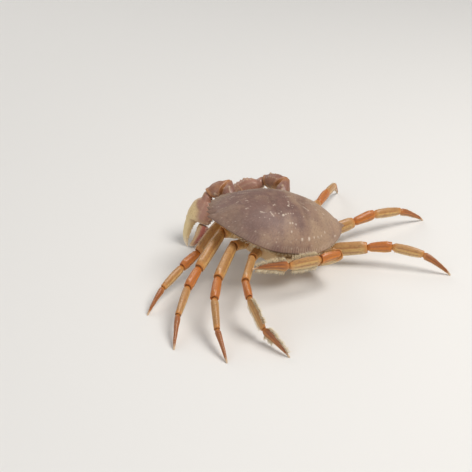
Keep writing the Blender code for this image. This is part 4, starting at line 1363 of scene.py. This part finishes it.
for last_pair, start, end, up, stations in fringed:
    limb_turn = pointing(end - start, up)
    for edge_side in (1, -1):
        def edge_root(share, edge_side=edge_side):
            at = 0.10 + 0.80 * share
            height, thick, rise = station_at(stations, at)
            x = at * (end - start).length / MM
            aside = chance.uniform(-0.3, 0.3)
            root = Vector((x, aside * thick / 2, edge_side * (height / 2 - 0.3) + rise)) * MM
            return start + limb_turn @ root, limb_turn @ Vector((0.5, aside, edge_side))
        fringe(edge_root, *(LAST_LEG_FRINGE if last_pair else LEG_FRINGE))

for side in (1, -1):
    def jaw_root(share, side=side):
        x, y, z, width, thick = along_line(MOUTH_LINE, 0.08 + 0.84 * share)
        root = Vector(((x - width / 2 + 0.2) * side, y, z)) - MOUTH_SLOPE * 1.2
        return on_body @ root, turn.to_3x3() @ Vector((-0.35 * side, 0.5, -0.6))
    fringe(jaw_root, *JAW_FRINGE)

    def tail_root(share, side=side):
        y, z, width = along_line(FLAP_LINE, 0.30 + 0.66 * share)
        return on_body @ Vector((side * (width / 2 - 0.2), y, z)), turn.to_3x3() @ Vector((side, 0.3, -0.35))
    fringe(tail_root, *TAIL_FRINGE)

hair_finish, hair_shader = plain_finish("pale bristle", {"Roughness": 0.6})
strands = add_node(hair_finish.node_tree, "ShaderNodeTexNoise", {"Scale": 400.0})
straws = {"A": (0.780, 0.610, 0.370, 1.0), "B": (0.960, 0.870, 0.660, 1.0)}
tint = add_node(hair_finish.node_tree, "ShaderNodeMix", straws, data_type="RGBA")
join(
    hair_finish.node_tree,
    (add_node(hair_finish.node_tree, "ShaderNodeTexCoord").outputs["Object"], strands.inputs["Vector"]),
    (strands.outputs["Fac"], tint.inputs["Factor"]),
    (tint.outputs["Result"], hair_shader.inputs["Base Color"]),
)
fit(finish_mesh("bristle_fringes", bristles), hair_finish, "feeler")

# The stage is a plain pale floor under soft studio light, and the camera looks at the crab from behind
# and above, as the photograph does, with the shell where the photograph has it in the frame.
FRAME_PIXELS = 472
SENSOR_WIDTH = 36.0
SHELL_PIXEL = Vector((278.6, 222.9))
PIXELS_PER_METRE = 908.0
CAMERA_DISTANCE = 1.1
CAMERA_HEADING = math.radians(-23.0)
CAMERA_RISE = math.radians(30.5)
FLOOR_COLOUR = (0.80, 0.785, 0.76)
FLOOR_FLAT = 1.8
FLOOR_CURL = 0.35
FLOOR_REACH = 4.0

mesh = bmesh.new()
bmesh.ops.create_grid(mesh, x_segments=96, y_segments=96, size=FLOOR_REACH)
for vert in mesh.verts:
    vert.co.z = FLOOR_CURL * max(0.0, vert.co.length - FLOOR_FLAT) ** 2
floor = finish_mesh("floor", mesh)
pale, _ = plain_finish("pale floor", {"Base Color": (*FLOOR_COLOUR, 1.0), "Roughness": 0.85})
floor.data.materials.append(pale)


def soft_light(name, place, size, power, colour):
    lamp = bpy.data.lights.new(name, "AREA")
    lamp.shape = "SQUARE"
    lamp.size = size
    lamp.energy = power
    lamp.color = colour
    made = bpy.data.objects.new(name, lamp)
    bpy.context.scene.collection.objects.link(made)
    made.location = place
    made.rotation_euler = (Vector((0.0, 0.0, 0.03)) - made.location).to_track_quat("-Z", "Y").to_euler()


soft_light("window", Vector((0.7, -0.5, 1.6)), 0.9, 26.0, (1.0, 0.97, 0.93))
soft_light("fill", Vector((-1.3, -0.9, 0.7)), 1.4, 6.0, (0.97, 0.98, 1.0))
soft_light("back", Vector((-0.4, 1.4, 1.1)), 1.0, 6.0, (1.0, 0.98, 0.95))
world = bpy.data.worlds.new("soft room")
world.use_nodes = True
world.node_tree.nodes["Background"].inputs["Color"].default_value = (0.93, 0.96, 1.0, 1.0)
world.node_tree.nodes["Background"].inputs["Strength"].default_value = 0.30
bpy.context.scene.world = world
bpy.context.scene.view_settings.view_transform = "Standard"

# The line of sight meets the middle of the shell at the photograph's angles. The camera then turns a
# little off it, so that the shell stands right of and above the middle of the picture.
level_reach = math.cos(CAMERA_RISE)
across_reach, ahead_reach = -math.sin(CAMERA_HEADING) * level_reach, math.cos(CAMERA_HEADING) * level_reach
sight = Vector((across_reach, ahead_reach, -math.sin(CAMERA_RISE)))
focal_pixels = PIXELS_PER_METRE * CAMERA_DISTANCE
lens = bpy.data.cameras.new("camera")
lens.sensor_width = SENSOR_WIDTH
lens.lens = SENSOR_WIDTH * focal_pixels / FRAME_PIXELS
camera = bpy.data.objects.new("camera", lens)
bpy.context.scene.collection.objects.link(camera)
offset = (SHELL_PIXEL - Vector((FRAME_PIXELS, FRAME_PIXELS)) / 2) / focal_pixels
looking = sight.to_track_quat("-Z", "Y").to_matrix()
aside = Matrix.Rotation(math.atan(offset.x), 3, "Y") @ Matrix.Rotation(math.atan(offset.y), 3, "X")
camera.matrix_world = Matrix.Translation(BODY_CENTRE - sight * CAMERA_DISTANCE) @ (looking @ aside).to_4x4()
bpy.context.scene.camera = camera
